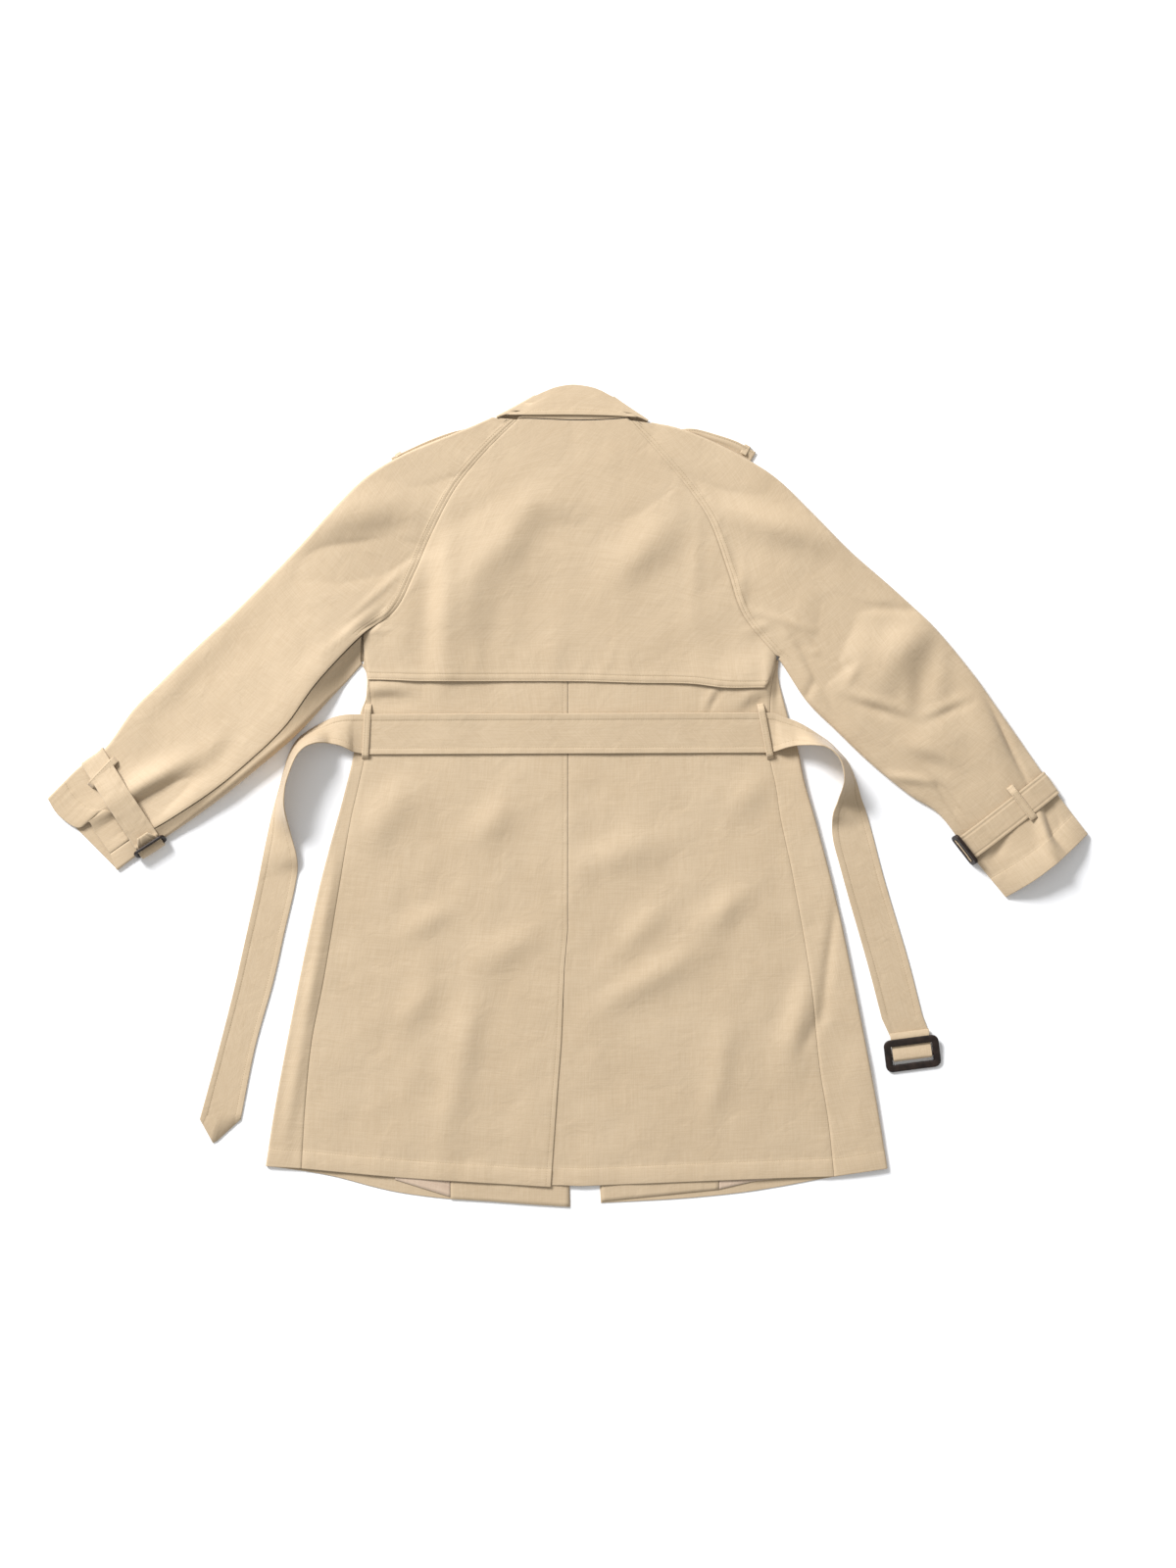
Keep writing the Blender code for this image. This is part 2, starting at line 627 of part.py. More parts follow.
def add_storm_shield():
    left = np.vstack([raglan_rows(sleeve_left_rows, 1)[:-1], ((-253, 196), (-251, 172), shield_hem[0])])
    right = np.vstack([raglan_rows(sleeve_right_rows, 1)[:-1], ((260, 172), (257, 155), shield_hem[-1])])
    bottom = spline(shield_hem, 25)
    top = spline(neck_seam, 25)
    bottom[0], bottom[-1], top[0], top[-1] = left[-1], right[-1], left[0], right[0]
    flat = coons(bottom, top, left[::-1], right[::-1])
    free = smooth_step((185 - flat[..., 1]) / 45)
    height = shield_wall(flat[..., 0], flat[..., 1]) + 0.3 * free
    grid = np.concatenate([flat, height[..., None]], axis=-1)
    add_sheet("storm_shield", grid, cloth, True, gabardine())


def add_hem_strip(name, left_x, right_x, low, high_y, finish):
    """The hem end of a facing or of the lining, on the inner face of its front."""
    low_y = np.interp(np.linspace(left_x, right_x, 6), *zip(*sorted(low)))
    x = np.linspace(left_x, right_x, 6)
    share = np.linspace(0, 1, 4)[:, None]
    y = low_y[None] * (1 - share) + high_y * share
    flat = np.stack(np.broadcast_arrays(x[None], y), axis=-1)
    height = floor_wall(flat[..., 0], flat[..., 1]) + 0.3
    add_sheet(name, np.concatenate([flat, height[..., None]], axis=-1), 1.0, True, finish)


def collar_row(row, level, inward=(0, 0), insets=(0, 0, 0, 0)):
    """Four points from the free edge to the roll line, each moved inwards by its own inset."""
    share = np.linspace(0, 1, 4)[:, None]
    flat = np.array(row[2:], float) * (1 - share) + np.array(row[:2], float) * share
    flat = flat + np.array(insets, float)[:, None] * np.array(inward, float)
    upper = fall_inner_height * (1 - share) + crest_inner_height * share
    return np.concatenate([flat, cloth * (1 - level) + upper * level], axis=1)


def folded_rows(fold, inward, upper_first):
    """The rows of points round a fold of the collar, between its upper and its lower leaf."""
    shape = np.array((1.0, 1.0, 0.9, 0.45))
    rows = [collar_row(fold, level, inward, inset * shape) for inset, level in side_roll()]
    return rows if upper_first else rows[::-1]


def add_collar():
    """The fall, which wraps round both sides of the neck, and the stand inside it."""
    left_inward, right_inward = (0.48, -0.877), (-0.54, -0.84)
    rows = [collar_row(row, 0.0) for row in left_leaf]
    rows += folded_rows(left_collar_fold, left_inward, False)
    bows = (6, 3, 0, 0, 0, 0, 0, 3, 6)
    for index, row in enumerate(rows_at(back_leaf, np.linspace(0, len(back_leaf) - 1, len(bows)))):
        bow = np.array((0, 1, 0.9, 0)) * bows[index]
        rows.append(collar_row(row, 1.0, left_inward if index < 4 else right_inward, bow))
    rows += folded_rows(right_collar_fold, right_inward, True)
    rows += [collar_row(row, 0.0) for row in right_leaf]
    add_sheet("collar_fall", rows, cloth, False, gabardine())

    seam = spline(neck_seam, 11) + np.array((0, 1.2))
    crest = spline(((-30, 495), (-12, 503), (8, 506), (33, 502), (45, 495)), 11)
    rise = np.linspace(0, 1, 5)[:, None, None]
    flat = seam[None] * (1 - rise) + crest[None] * rise
    height = 5.0 * (1 - rise[..., 0]) + 1.9 * rise[..., 0] + np.zeros((1, 11))
    add_sheet("collar_stand", np.concatenate([flat, height[..., None]], axis=-1), cloth, True, gabardine())


def belt_height(x):
    """Height of the belt's middle face where it lies across the back."""
    low, high = belt_line - belt_width / 2, belt_line + belt_width / 2
    y = np.linspace(low, high, 7)[:, None]
    return (back_wall(x[None], y).max(axis=0) + cloth + rest_gap) + belt_cloth / 2


def belt_end(rows, count, first_height, body_share):
    """Outer edge, inner edge and both heights of a belt end, from the loop outwards. The first share of it
    still lies on the body. Where the edges lie close together the belt stands up on its outer edge."""
    lines = rows_at(rows, np.linspace(0, len(rows) - 1, count))
    outer, inner = lines[:, 0:2], lines[:, 2:4]
    apart = np.linalg.norm(outer - inner, axis=1)
    rise = np.sqrt(np.maximum(belt_width ** 2 - apart ** 2, 0))
    rise = rise * smooth_step((0.96 - apart / belt_width) / 0.08)
    tilt = np.clip(apart / belt_width, 0, 1)
    drop = smooth_step((np.arange(count) / count - body_share) / 0.2)
    low = first_height * (1 - drop) + belt_cloth / 2 * tilt * drop
    return outer, inner, low, low + rise


def add_belt():
    """One strip from the pointed tip to the fold round the buckle's bar."""
    body_x = np.linspace(-251, 246, 18)
    body_height = belt_height(body_x)
    left = belt_end(belt_left_rows, 30, body_height[0], 0.02)
    right = belt_end(belt_right_rows, 28, body_height[-1], 0.15)
    middle_y = belt_line + np.interp(body_x, (-251, 246), (-1, 1))
    strips = [strip_rows(left[0], left[2], left[1], left[3])[::-1]]
    top = np.stack([body_x, middle_y + belt_width / 2], axis=1)
    bottom = np.stack([body_x, middle_y - belt_width / 2], axis=1)
    strips.append(strip_rows(top, body_height, bottom, body_height))
    strips.append(strip_rows(right[0], right[2], right[1], right[3]))
    strips.append(buckle_turnback())
    grid = np.concatenate(strips)
    grid[0, 1] = (*belt_tip, belt_cloth / 2)
    add_sheet("belt", grid, belt_cloth, True, gabardine(), offset=0.0)


def strip_rows(outer, outer_height, inner, inner_height):
    """Rows of three points across a strip."""
    first = np.column_stack([outer, outer_height])
    last = np.column_stack([inner, inner_height])
    return np.stack([first, (first + last) / 2, last], axis=1)


def buckle_place(across, along, height):
    """A point given in the buckle's own lie: across it, along the belt towards its end, and its height."""
    turn = math.radians(buckle_turn)
    x = buckle_x + across * math.cos(turn) + along * math.sin(turn)
    y = buckle_y + across * math.sin(turn) - along * math.cos(turn)
    return (x, y, height)


def buckle_turnback():
    """The belt's end: on under the near rail, round the bar, and back under the rail to its stitching."""
    low = belt_cloth / 2
    half = belt_width / 2 - 0.8
    bar = buckle_bar_height()
    radius = buckle_bar_radius + 0.35 + belt_cloth / 2
    path = [(-24.0, low), (-10.0, low), (0.0, low + 0.1)]
    for turn in np.radians(np.linspace(-90, 90, 7)):
        path.append((bar_along + radius * math.cos(turn), bar + radius * math.sin(turn)))
    path += [(-4.5, bar + 1.7), (-11.0, 3.75), (-19.0, 3.6), (-28.0, 3.6)]
    rows = [[buckle_place(across, along, height) for across in (half, 0, -half)] for along, height in path]
    return np.array(rows)


def buckle_bar_height():
    return belt_cloth / 2 + belt_cloth / 2 + 0.35 + buckle_bar_radius


def ring_mesh(name, size, rail, corner):
    """A closed frame: a rounded rail section carried round a rounded rectangle."""
    half_length, half_width = (size[0] - rail[0]) / 2, (size[1] - rail[0]) / 2
    centre_corner = corner - rail[0] / 2 + 1.5
    path = []
    for quarter, (sign_x, sign_y) in enumerate(((1, 1), (-1, 1), (-1, -1), (1, -1))):
        for step in range(4):
            turn = math.pi / 2 * (quarter + step / 3)
            middle = (sign_x * (half_length - centre_corner), sign_y * (half_width - centre_corner))
            outward = (math.cos(turn), math.sin(turn))
            path.append((middle[0] + centre_corner * outward[0], middle[1] + centre_corner * outward[1], outward))
    section = [(math.cos(a) * abs(math.cos(a)) ** -0.4, math.sin(a) * abs(math.sin(a)) ** -0.4)
               for a in np.radians((22.5, 67.5, 112.5, 157.5, 202.5, 247.5, 292.5, 337.5))]
    points = []
    for x, y, outward in path:
        for side, height in section:
            reach = side * rail[0] / 2 / 1.02
            points.append((x + outward[0] * reach, y + outward[1] * reach, height * rail[1] / 2 / 1.02))
    count, around = len(path), len(section)
    quads = []
    for i in range(count):
        for j in range(around):
            following, beside = (i + 1) % count, (j + 1) % around
            quads.append((i * around + j, following * around + j, following * around + beside,
                          i * around + beside))
    mesh = bpy.data.meshes.new(name)
    mesh.from_pydata(to_metres(points), [], quads)
    tidy = bmesh.new()
    tidy.from_mesh(mesh)
    bmesh.ops.recalc_face_normals(tidy, faces=tidy.faces)
    tidy.to_mesh(mesh)
    tidy.free()
    return mesh


def add_bar(frame, length, radius):
    """Joins the centre bar to a frame."""
    bpy.ops.mesh.primitive_cylinder_add(vertices=12, radius=radius / 1000, depth=length / 1000,
                                        rotation=(0, math.pi / 2, 0))
    bar = bpy.context.object
    bar.name = frame.name + "_bar_shape"
    bar.data.transform(bar.matrix_world)
    bar.matrix_world.identity()
    bar.parent = frame
    for holder in bar.users_collection:
        holder.objects.unlink(bar)
    shapes.objects.link(bar)
    bar.hide_render = True
    bar.display_type = "WIRE"
    join = frame.modifiers.new("bar", "BOOLEAN")
    join.operation = "UNION"
    join.object = bar
    return bar


def add_buckle():
    frame = add_object("belt_buckle", ring_mesh("belt_buckle", buckle_size, buckle_rail, buckle_corner),
                       buckle_leather())
    bar = add_bar(frame, buckle_size[0] - buckle_rail[0], buckle_bar_radius)
    slope = math.radians(buckle_slope)
    frame.rotation_euler = (slope, 0, math.radians(buckle_turn))
    frame.location = (buckle_x / 1000, buckle_y / 1000, buckle_height / 1000)
    drop = buckle_height - bar_along * math.tan(slope) - buckle_bar_height()
    bar.location = (0, -bar_along / math.cos(slope) / 1000, -drop / 1000)


def add_band(name, start, end, width, high, rises, cloth_top):
    """A narrow loop over what it holds: its ends lie on the cloth and it rises to the high face, within the
    given distances from its two ends."""
    start, end = np.array(start, float), np.array(end, float)
    length = np.linalg.norm(end - start)
    along = (end - start) / length
    side = np.array((-along[1], along[0])) * width / 2
    rows = []
    for distance, raised in ((0, 0), (0.3 * rises[0], 0), (rises[0], 1), (length / 2, 1),
                             (length - rises[1], 1), (length - 0.3 * rises[1], 0), (length, 0)):
        middle = start + along * distance
        across = (middle + side, middle, middle - side)
        rows.append([(*place, high if raised else cloth_top(*place) + 0.4) for place in across])
    add_sheet(name, rows, loop_cloth, True, gabardine())


def on_back(x, y):
    """Top of the back or of a sleeve's upper half."""
    return float(back_wall(x, y)) + cloth


def add_belt_loops():
    for name, start, end in (("belt_loop_left", (-247, 114), (-251, 47)),
                             ("belt_loop_right", (240.5, 114.5), (253, 47))):
        around = np.linspace(start[0] - 30, end[0] + 30, 9)
        over = float(belt_height(around).max()) + belt_cloth / 2 + 0.4
        add_band(name, start, end, loop_width, over, (8.5, 4.5), on_back)


class Cuff:
    """The lie of one strapped cuff, from its strap's middle on the underarm edge to the overarm edge."""

    def __init__(self, inner, outer, table, surface):
        self.inner = np.array(inner, float)
        self.length = float(np.linalg.norm(np.array(outer) - self.inner))
        self.along = (np.array(outer) - self.inner) / self.length
        self.side = np.array((self.along[1], -self.along[0]))
        self.edge = sleeve_lines(table)[0] - self.inner
        rows, columns = np.linspace(0, 1, 5), np.linspace(0, 1, 3)
        corners = (surface[:-1, :-1], surface[:-1, 1:], surface[1:, :-1], surface[1:, 1:])
        near, beside, far, across = (corner[:, :, None, None] for corner in corners)
        down, over = rows[:, None, None], columns[None, :, None]
        filled = (near * (1 - over) + beside * over) * (1 - down) + (far * (1 - over) + across * over) * down
        self.surface = filled.reshape(-1, 3)

    def place(self, along, side=0.0):
        return self.inner + self.along * along + self.side * side

    def beyond(self, side):
        """How much further the overarm edge is at one side of the strap than at its middle."""
        along, across = self.edge @ self.along, self.edge @ self.side
        order = np.argsort(across)
        return float(np.interp(side, across[order], along[order])) - self.length

    def top(self, along):
        """Height of the strap's middle face over the sleeve."""
        offset = self.surface[:, :2] - self.inner
        reach = np.maximum(np.abs(offset @ self.along - along) / 12, np.abs(offset @ self.side) / 19)
        near = self.surface[reach < max(1, reach.min() + 0.5), 2]
        return float(near.max()) + cloth + 0.5 + strap_cloth / 2

    def cloth_top(self, x, y):
        """Top of the sleeve's cloth around a place."""
        near = np.linalg.norm(self.surface[:, :2] - (x, y), axis=1) < 7
        return float(self.surface[near, 2].max()) + cloth


def add_cuff_strap(name, cuff, tip, hook):
    """The strap: from its tip, or from under the sleeve, round the overarm edge and back to the buckle's
    bar."""
    floor = strap_cloth / 2
    length = cuff.length
    path = list(tip) + [(along, floor) for along in np.linspace(3, length - 2, 6)]
    top = cuff.top(length - 2)
    for turn in np.radians((-50, 0, 50)):
        path.append((length - 1 + 3.2 * math.cos(turn), (top + floor) / 2 + (top - floor) / 2 * math.sin(turn)))
    path += [(along, cuff.top(along)) for along in np.linspace(length - 2, 8, 9)]
    path += [(4.0, cuff.top(4))] + list(hook)
    half = cuff_strap_width / 2
    rows = []
    for index, (along, height) in enumerate(path):
        width = half * 0.45 if tip and index == 0 else half
        share = smooth_step((along / length - 0.6) / 0.35)
        rows.append([(*cuff.place(along + share * cuff.beyond(side), side), height)
                     for side in (width, 0, -width)])
    add_sheet(name, rows, strap_cloth, False, gabardine(), offset=0.0)


def add_cuff_buckle(name, cuff, lean, along, height):
    """The frame stands on its long side at the underarm edge and leans on the strap."""
    frame = add_object(name, ring_mesh(name, cuff_buckle_size, cuff_buckle_rail, cuff_buckle_corner),
                       buckle_leather())
    add_bar(frame, cuff_buckle_size[0] - cuff_buckle_rail[0], cuff_bar_radius)
    frame.rotation_euler = (math.radians(lean), 0, math.atan2(-cuff.along[0], cuff.along[1]))
    x, y = cuff.place(along)
    frame.location = (x / 1000, y / 1000, height / 1000)


def add_cuff_loop(name, cuff, start, end, rises):
    middle = (np.array(start) + np.array(end)) / 2
    along = float((middle - cuff.inner) @ cuff.along)
    over = max(cuff.top(along + step) for step in (-8, 0, 8)) + strap_cloth / 2 + 0.4
    add_band(name, start, end, loop_width + 1, over, rises, cuff.cloth_top)


def add_cuffs():
    """The straps, loops and buckles. The left strap's tip stands up beside its buckle."""
    left_half = upper_half(sleeve_left_rows, hem_left, sleeve_left_puff, True)
    right_half = upper_half(sleeve_right_rows, hem_right, sleeve_right_puff, False)
    left = Cuff((-519, -60), (-590, 50), sleeve_left_rows, left_half)
    right = Cuff((497.5, -64), (599, 14.5), sleeve_right_rows, right_half)
    add_cuff_strap("cuff_strap_left", left, left_strap_tip, left_strap_hook)
    add_cuff_strap("cuff_strap_right", right, (), right_strap_hook)
    add_cuff_buckle("cuff_buckle_left", left, 68, -3.0, 12.0)
    add_cuff_buckle("cuff_buckle_right", right, 80, -3.6, 10.4)
    add_cuff_loop("cuff_loop_left", left, (-560.5, 46), (-592, 13), (3.7, 4.2))
    add_cuff_loop("cuff_loop_right", right, (549.5, 11.5), (579.5, -28), (9.5, 4))


def add_epaulettes():
    """Each lies folded under its shoulder and shows along the shoulder fold. Its loop passes under it."""
    raised = epaulette_loop_cloth + seam_gap
    for side, rows in (("left", epaulette_left_rows), ("right", epaulette_right_rows)):
        lines = rows_at(rows, np.linspace(0, len(rows) - 1, 9))
        share = np.linspace(0, 1, 4)[:, None]
        grid = []
        for index, row in enumerate(lines):
            flat = row[:2] * (1 - share) + row[2:] * share
            height = np.full((4, 1), raised * float(smooth_step((index - 2) / 4)))
            grid.append(np.concatenate([flat, height], axis=1))
        add_sheet(f"epaulette_{side}", grid, epaulette_cloth, True, gabardine())
    add_epaulette_loop("epaulette_loop_left", (-210, 425.2), (-0.53, 0.85), ((-2.3, 5.6),))
    add_epaulette_loop("epaulette_loop_right", (224, 434.5), (0.49, 0.87), ((-5, 4.2), (-10.5, 6.0)))


def add_epaulette_loop(name, edge, outward, end):
    """A strip from under the epaulette, round its outer edge and up to the shoulder fold. The path gives
    the distance outside that edge and the height."""
    path = ((-24, 0.5), (-6, 0.5), (0.6, 0.55), (1.9, 1.5), (1.8, 3.0), (0.3, 3.9)) + end
    edge, outward = np.array(edge, float), np.array(outward, float)
    along = np.array((outward[1], -outward[0])) * (loop_width + 1) / 2
    rows = []
    for distance, height in path:
        middle = edge + outward * distance
        rows.append([(*(middle + along), height), (*(middle - along), height)])
    add_sheet(name, rows, epaulette_loop_cloth, True, gabardine(), offset=0.0)


def add_hem_ends():
    """The hem ends of the facings and the lining, which the back hem leaves in sight."""
    add_hem_strip("facing_left", -145, 2.5, front_hem_left, -445, gabardine())
    add_hem_strip("lining_left", -214, -145.5, ((-214, -477), (-145, -498.5)), -445, lining_cloth())
    add_hem_strip("facing_right", 43, 189, ((43, -504), (189, -489)), -445, gabardine())
    add_hem_strip("lining_right", 189.5, 256, ((189, -489), (228, -480), (256, -476)), -445, lining_cloth())


def main():
    for side, table, hem, puff, shows in (
        ("left", sleeve_left_rows, hem_left, sleeve_left_puff, True),
        ("right", sleeve_right_rows, hem_right, sleeve_right_puff, False),
    ):
        add_sleeve(side, table, hem, puff, shows)
    add_front("left", sleeve_left_rows, side_fold_left, side_seam_left, front_hem_left, front_neck_left,
              front_edge_left)
    add_front("right", sleeve_right_rows, side_fold_right, side_seam_right, front_hem_right,
              front_neck_right, front_edge_right)
    add_back_left()
    add_back_right()
    add_storm_shield()
    add_collar()
    add_hem_ends()
    add_belt()
    add_buckle()
    add_belt_loops()
    add_cuffs()
    add_epaulettes()


for leftover in list(bpy.data.objects):
    bpy.data.objects.remove(leftover)
coat = bpy.data.collections.new("trench_coat")
shapes = bpy.data.collections.new("shapes")
bpy.context.scene.collection.children.link(coat)
bpy.context.scene.collection.children.link(shapes)
main()
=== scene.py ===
# A raglan trench coat in cotton gabardine, laid flat on its front. Lengths are in millimetres until a mesh
# is made, left and right are the wearer's, +Y is towards the collar and z = 0 is the surface it lies on.
import json
import math

import bmesh
import bpy
import numpy as np
from mathutils import Matrix, Vector

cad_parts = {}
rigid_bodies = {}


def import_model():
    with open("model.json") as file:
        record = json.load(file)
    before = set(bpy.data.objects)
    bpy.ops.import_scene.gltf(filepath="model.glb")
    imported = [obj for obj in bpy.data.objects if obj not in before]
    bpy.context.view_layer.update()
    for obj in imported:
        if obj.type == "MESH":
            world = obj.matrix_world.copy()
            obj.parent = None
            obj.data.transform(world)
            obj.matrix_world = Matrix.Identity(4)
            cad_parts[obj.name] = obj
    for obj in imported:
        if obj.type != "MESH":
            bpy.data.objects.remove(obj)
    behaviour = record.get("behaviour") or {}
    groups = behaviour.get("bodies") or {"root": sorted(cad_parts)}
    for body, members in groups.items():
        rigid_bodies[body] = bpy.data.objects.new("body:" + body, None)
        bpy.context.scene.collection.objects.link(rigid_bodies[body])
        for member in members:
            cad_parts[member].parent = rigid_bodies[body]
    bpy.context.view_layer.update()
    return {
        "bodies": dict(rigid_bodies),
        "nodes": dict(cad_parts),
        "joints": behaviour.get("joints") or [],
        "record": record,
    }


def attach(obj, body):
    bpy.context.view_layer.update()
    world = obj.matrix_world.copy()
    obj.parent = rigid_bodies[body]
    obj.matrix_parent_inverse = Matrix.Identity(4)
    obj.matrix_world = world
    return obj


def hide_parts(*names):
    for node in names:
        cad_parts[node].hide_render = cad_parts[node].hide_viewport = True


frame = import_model()

# Driving dimensions
cloth = 1.2  # wall of the shell cloth with its lining
beltCloth = 2.2
strapCloth = 1.6
loopCloth = 1.4
epauletteCloth = 1.5
epauletteLoopCloth = 1.0
beltWidth = 50.0
cuffStrapWidth = 33.0
bodyGap = 1.7  # between the inner faces of front and back
shieldGap = 0.9  # between the back and the storm shield over it
restGap = 0.6  # under what lies on top of the coat
seamGap = 0.3
foldInset = 1.8  # how far a side fold's inner face curves in
loopWidth = 7.0
ventLap = 1.5  # how far the left back rises over the vent's underlap
ventTop = -168.0
underlapTop = ventTop - 96  # the underlap has its own edge from here down
underlapReach = (-46, -9)
underlapColumns = 8
beltLine = 78.0  # the belt's middle on the centre back
cuffRise = 4.4  # how far the strapped cuffs stand off the floor

# Soft folds of the laid cloth: middle, heading in degrees, half length, half width, height, and how far a
# fold is a step (1: high on its left side, low on its right) and not a ridge (0)
folds = (
    (-163, 235, 88, 85, 19, -3.6, 1),
    (-94, 258, 66, 108, 76, 8.0, 0.45),
    (-74, 318, 50, 55, 24, 4.0, 0),
    (99, 311, 46, 52, 24, 5.0, 0),
    (228, 137, 60, 45, 32, 4.0, 0),
    (-10, 210, 85, 60, 22, 1.6, 0),
    (-256, 326, 12, 72, 38, 8.0, 1),
    (-232, 312, 3, 50, 12, 2.5, 1),
    (-303, 169, 52, 60, 19, 2.0, 0),
    (-388, 77, 45, 65, 17, 1.0, 0),
    (-461, 3, 42, 45, 15, 1.0, 0),
    (-370, 130, 45, 160, 60, 3.0, 0),
    (-521, 3, 30, 62, 18, 10.5, 1),
    (262, 336, -17, 72, 20, 6.5, 0),
    (423, 196, 32, 40, 22, 3.5, 0),
    (410, 168, 53, 48, 25, 6.5, 0),
    (352, 190, 66, 45, 32, -4.5, 1),
    (526, 76, -64, 62, 20, 4.5, 0),
    (459, 70, 10, 45, 20, 2.0, 0),
    (500, 20, -55, 80, 45, 2.5, 0),
    (601, -50, 107, 38, 9, 8.5, 1),
    (195, -143, 42, 42, 18, 3.7, 0),
    (109, -223, 31, 72, 18, 3.5, 0),
    (96, -162, 45, 45, 16, 2.3, 0),
    (69, -70, 20, 60, 22, 3.0, 0),
    (231, 9, 60, 38, 20, 2.8, 0),
    (191, -338, 80, 60, 16, 2.4, 0),
    (289, -277, 76, 50, 16, 4.4, 0),
    (-224, -24, 53, 50, 24, 4.4, 0),
    (-90, -31, 40, 32, 22, 3.2, 0),
    (-71, -186, 30, 45, 20, 2.8, 0),
    (-132, -332, 79, 95, 20, 3.6, 0),
    (-181, -253, 60, 32, 18, 2.8, 0),
    (-169, -153, 30, 30, 16, 2.4, 0),
    (372, -290, -79, 200, 40, 3, 0),
    (302, 0, -75, 110, 32, 3, 0),
)

# Where a strapped cuff is held off the floor
cuffFolds = (
    (-552, -4, 121, 66, 46, cuffRise, 0),
    (548, -25, 37.7, 66, 46, cuffRise, 0),
)

# What lies under the fronts and sleeves lifts them: collar leaves, epaulettes and cuff straps
underlays = (
    (-70, 430, 80, 95, 78, 1.8, 0),
    (82, 430, 100, 95, 78, 1.8, 0),
    (-170, 428, 24, 84, 46, 3.4, 0),
    (182, 430, -22, 84, 46, 3.4, 0),
    (-552, -4, 121, 90, 46, 2.3, 0),
    (548, -25, 37.7, 90, 46, 2.3, 0),
)

# Stations of each sleeve from the neck to the hem: the overarm fold, the seam that bounds the upper half
# (raglan seam, then underarm seam) and the line that bounds the lower half (front raglan, then fold)
sleeveLeftRows = (
    (-93, 471, -61, 468, -73, 443),
    (-122, 459, -97, 433, -98, 416),
    (-162, 443, -137, 385, -127, 374),
    (-207, 424, -167, 329, -155, 327),
    (-252, 396, -190, 277, -181, 280),
    (-295, 352, -214, 231, -210, 228),
    (-342, 301, -256, 199, -255, 165),
    (-406, 236, -310, 141, -297, 118),
    (-461, 185, -350, 86, -337, 75),
    (-506, 141, -398, 40, -386, 33),
    (-540, 107, -443, 4, -432, -4),
    (-574, 60, -505, -36, -484, -41),
    (-610, 33, -540, -52, -532, -72),
    (-647, -3, -568, -71, -559, -92),
)
sleeveRightRows = (
    (108, 463.5, 76, 467.5, 88, 443),
    (136, 459, 112, 428, 114, 412),
    (178, 443, 148, 386, 142, 370),
    (222, 421, 178, 341, 166, 325),
    (262, 395, 200, 281, 192, 272),
    (304, 354, 220, 224, 216, 222),
    (350, 307, 263, 171, 263, 170.2),
    (406, 258, 298, 118, 298, 118),
    (458, 209, 334, 82, 334, 82),
    (503, 155, 378, 40, 378, 40),
    (540, 103, 425, 2, 425, 2),
    (573, 56, 462, -22, 462, -22),
    (609, 4, 496, -65, 496, -65),
    (648, -47, 546, -126, 546, -126),
)
# How far each sleeve's upper half is puffed up, station by station: at its seam, along its middle and at the
# overarm fold. Beyond the underarm seam that shows, the cloth falls again towards its fold
sleeveLeftPuff = (
    (0, 0, 0, 0),
    (0, 0, 0, 0),
    (0, 0, 0, 0),
    (0, 1, 2, 0),
    (0, 3, 4, 0),
    (0, 5, 5, 2),
    (3, 8, 5, 7),
    (13, 9, 5, 5),
    (14, 9, 5, 0),
    (14, 9, 5, -1),
    (12, 7, 4, 0),
    (7, 4, 3, 2),
    (2, 0, 0, 1),
    (0, 0, 0, 0),
)
sleeveRightPuff = (
    (0, 0, 0, 0),
    (0, 0, 0, 0),
    (0, 0, 0, 0),
    (0, 1, 2, 0),
    (0, 3, 4, 0),
    (0, 5, 5, 0),
    (1, 7, 5, 0),
    (4, 9, 5, 0),
    (5, 10, 5, 0),
    (5, 10, 5, 0),
    (4, 9, 4, 0),
    (3, 7, 3, 0),
    (0, 6, 1, 0),
    (1, 21, 2, 0),
)
foldShare = 0.3
floorInset = 10.0
armpitRow = 6
hemRow = 13
shieldLevel = (5.14, 2.6)  # station where a sleeve starts to drop from the shield, and over how many
hemBend = (11.54, 1.46)  # the same for where the cuff takes its hem's line

# The cuff's hem, from the overarm fold to the underarm
hemLeft = ((-647, -3), (-637, -19), (-622, -32), (-608, -38), (-595, -31), (-586, -46), (-568, -71))
hemRight = ((648, -47), (612, -79), (580, -104), (546, -126))

# Lines of the body, from the armpit down
sideFoldLeft = ((-255, 163), (-249, 150), (-250, 122), (-257, 102), (-264, 57), (-278, -2), (-308, -113),
                  (-336, -243), (-361, -373), (-375, -460))
sideFoldRight = ((263, 168), (263, 145), (275, 97), (287, 58), (296, 15), (314, -48), (339, -146),
                   (363, -263), (384, -373), (399, -463))
sideSeamLeft = ((-253, 196), (-247, 158), (-244, 118), (-248, 82), (-251, 52), (-258, 18), (-270, -36),
                  (-284, -118), (-302, -226), (-317, -303), (-325, -380), (-330, -463))
sideSeamRight = ((260, 168), (254, 140), (252, 100), (251, 70), (253, 43), (260, 10), (266, -30),
                   (282, -106), (302, -223), (314, -336), (325, -405), (332, -473))
backHemLeft = ((-330, -463), (-212, -474), (-120, -480), (-20, -486))
backHemRight = ((-19, -484), (14, -485), (117, -481), (241, -476), (332, -473))
ventEdge = ((1, 480), (1, -168), (-3, -213), (-7, -308), (-12, -371), (-20, -487))
neckSeam = ((-61, 469), (-42, 469), (12, 467), (51, 468), (76, 470))
shieldHem = ((-247, 145), (-210, 144), (-169, 143), (1, 143), (86, 141), (152, 140), (196, 135), (246, 135))
frontHemLeft = ((4, -511), (-45, -508), (-98, -504), (-148, -501), (-203, -494), (-241, -486),
                  (-282, -475), (-317, -468), (-375, -460))
frontHemRight = ((42, -506), (136, -501), (210, -494), (263, -486), (318, -476), (399, -463))
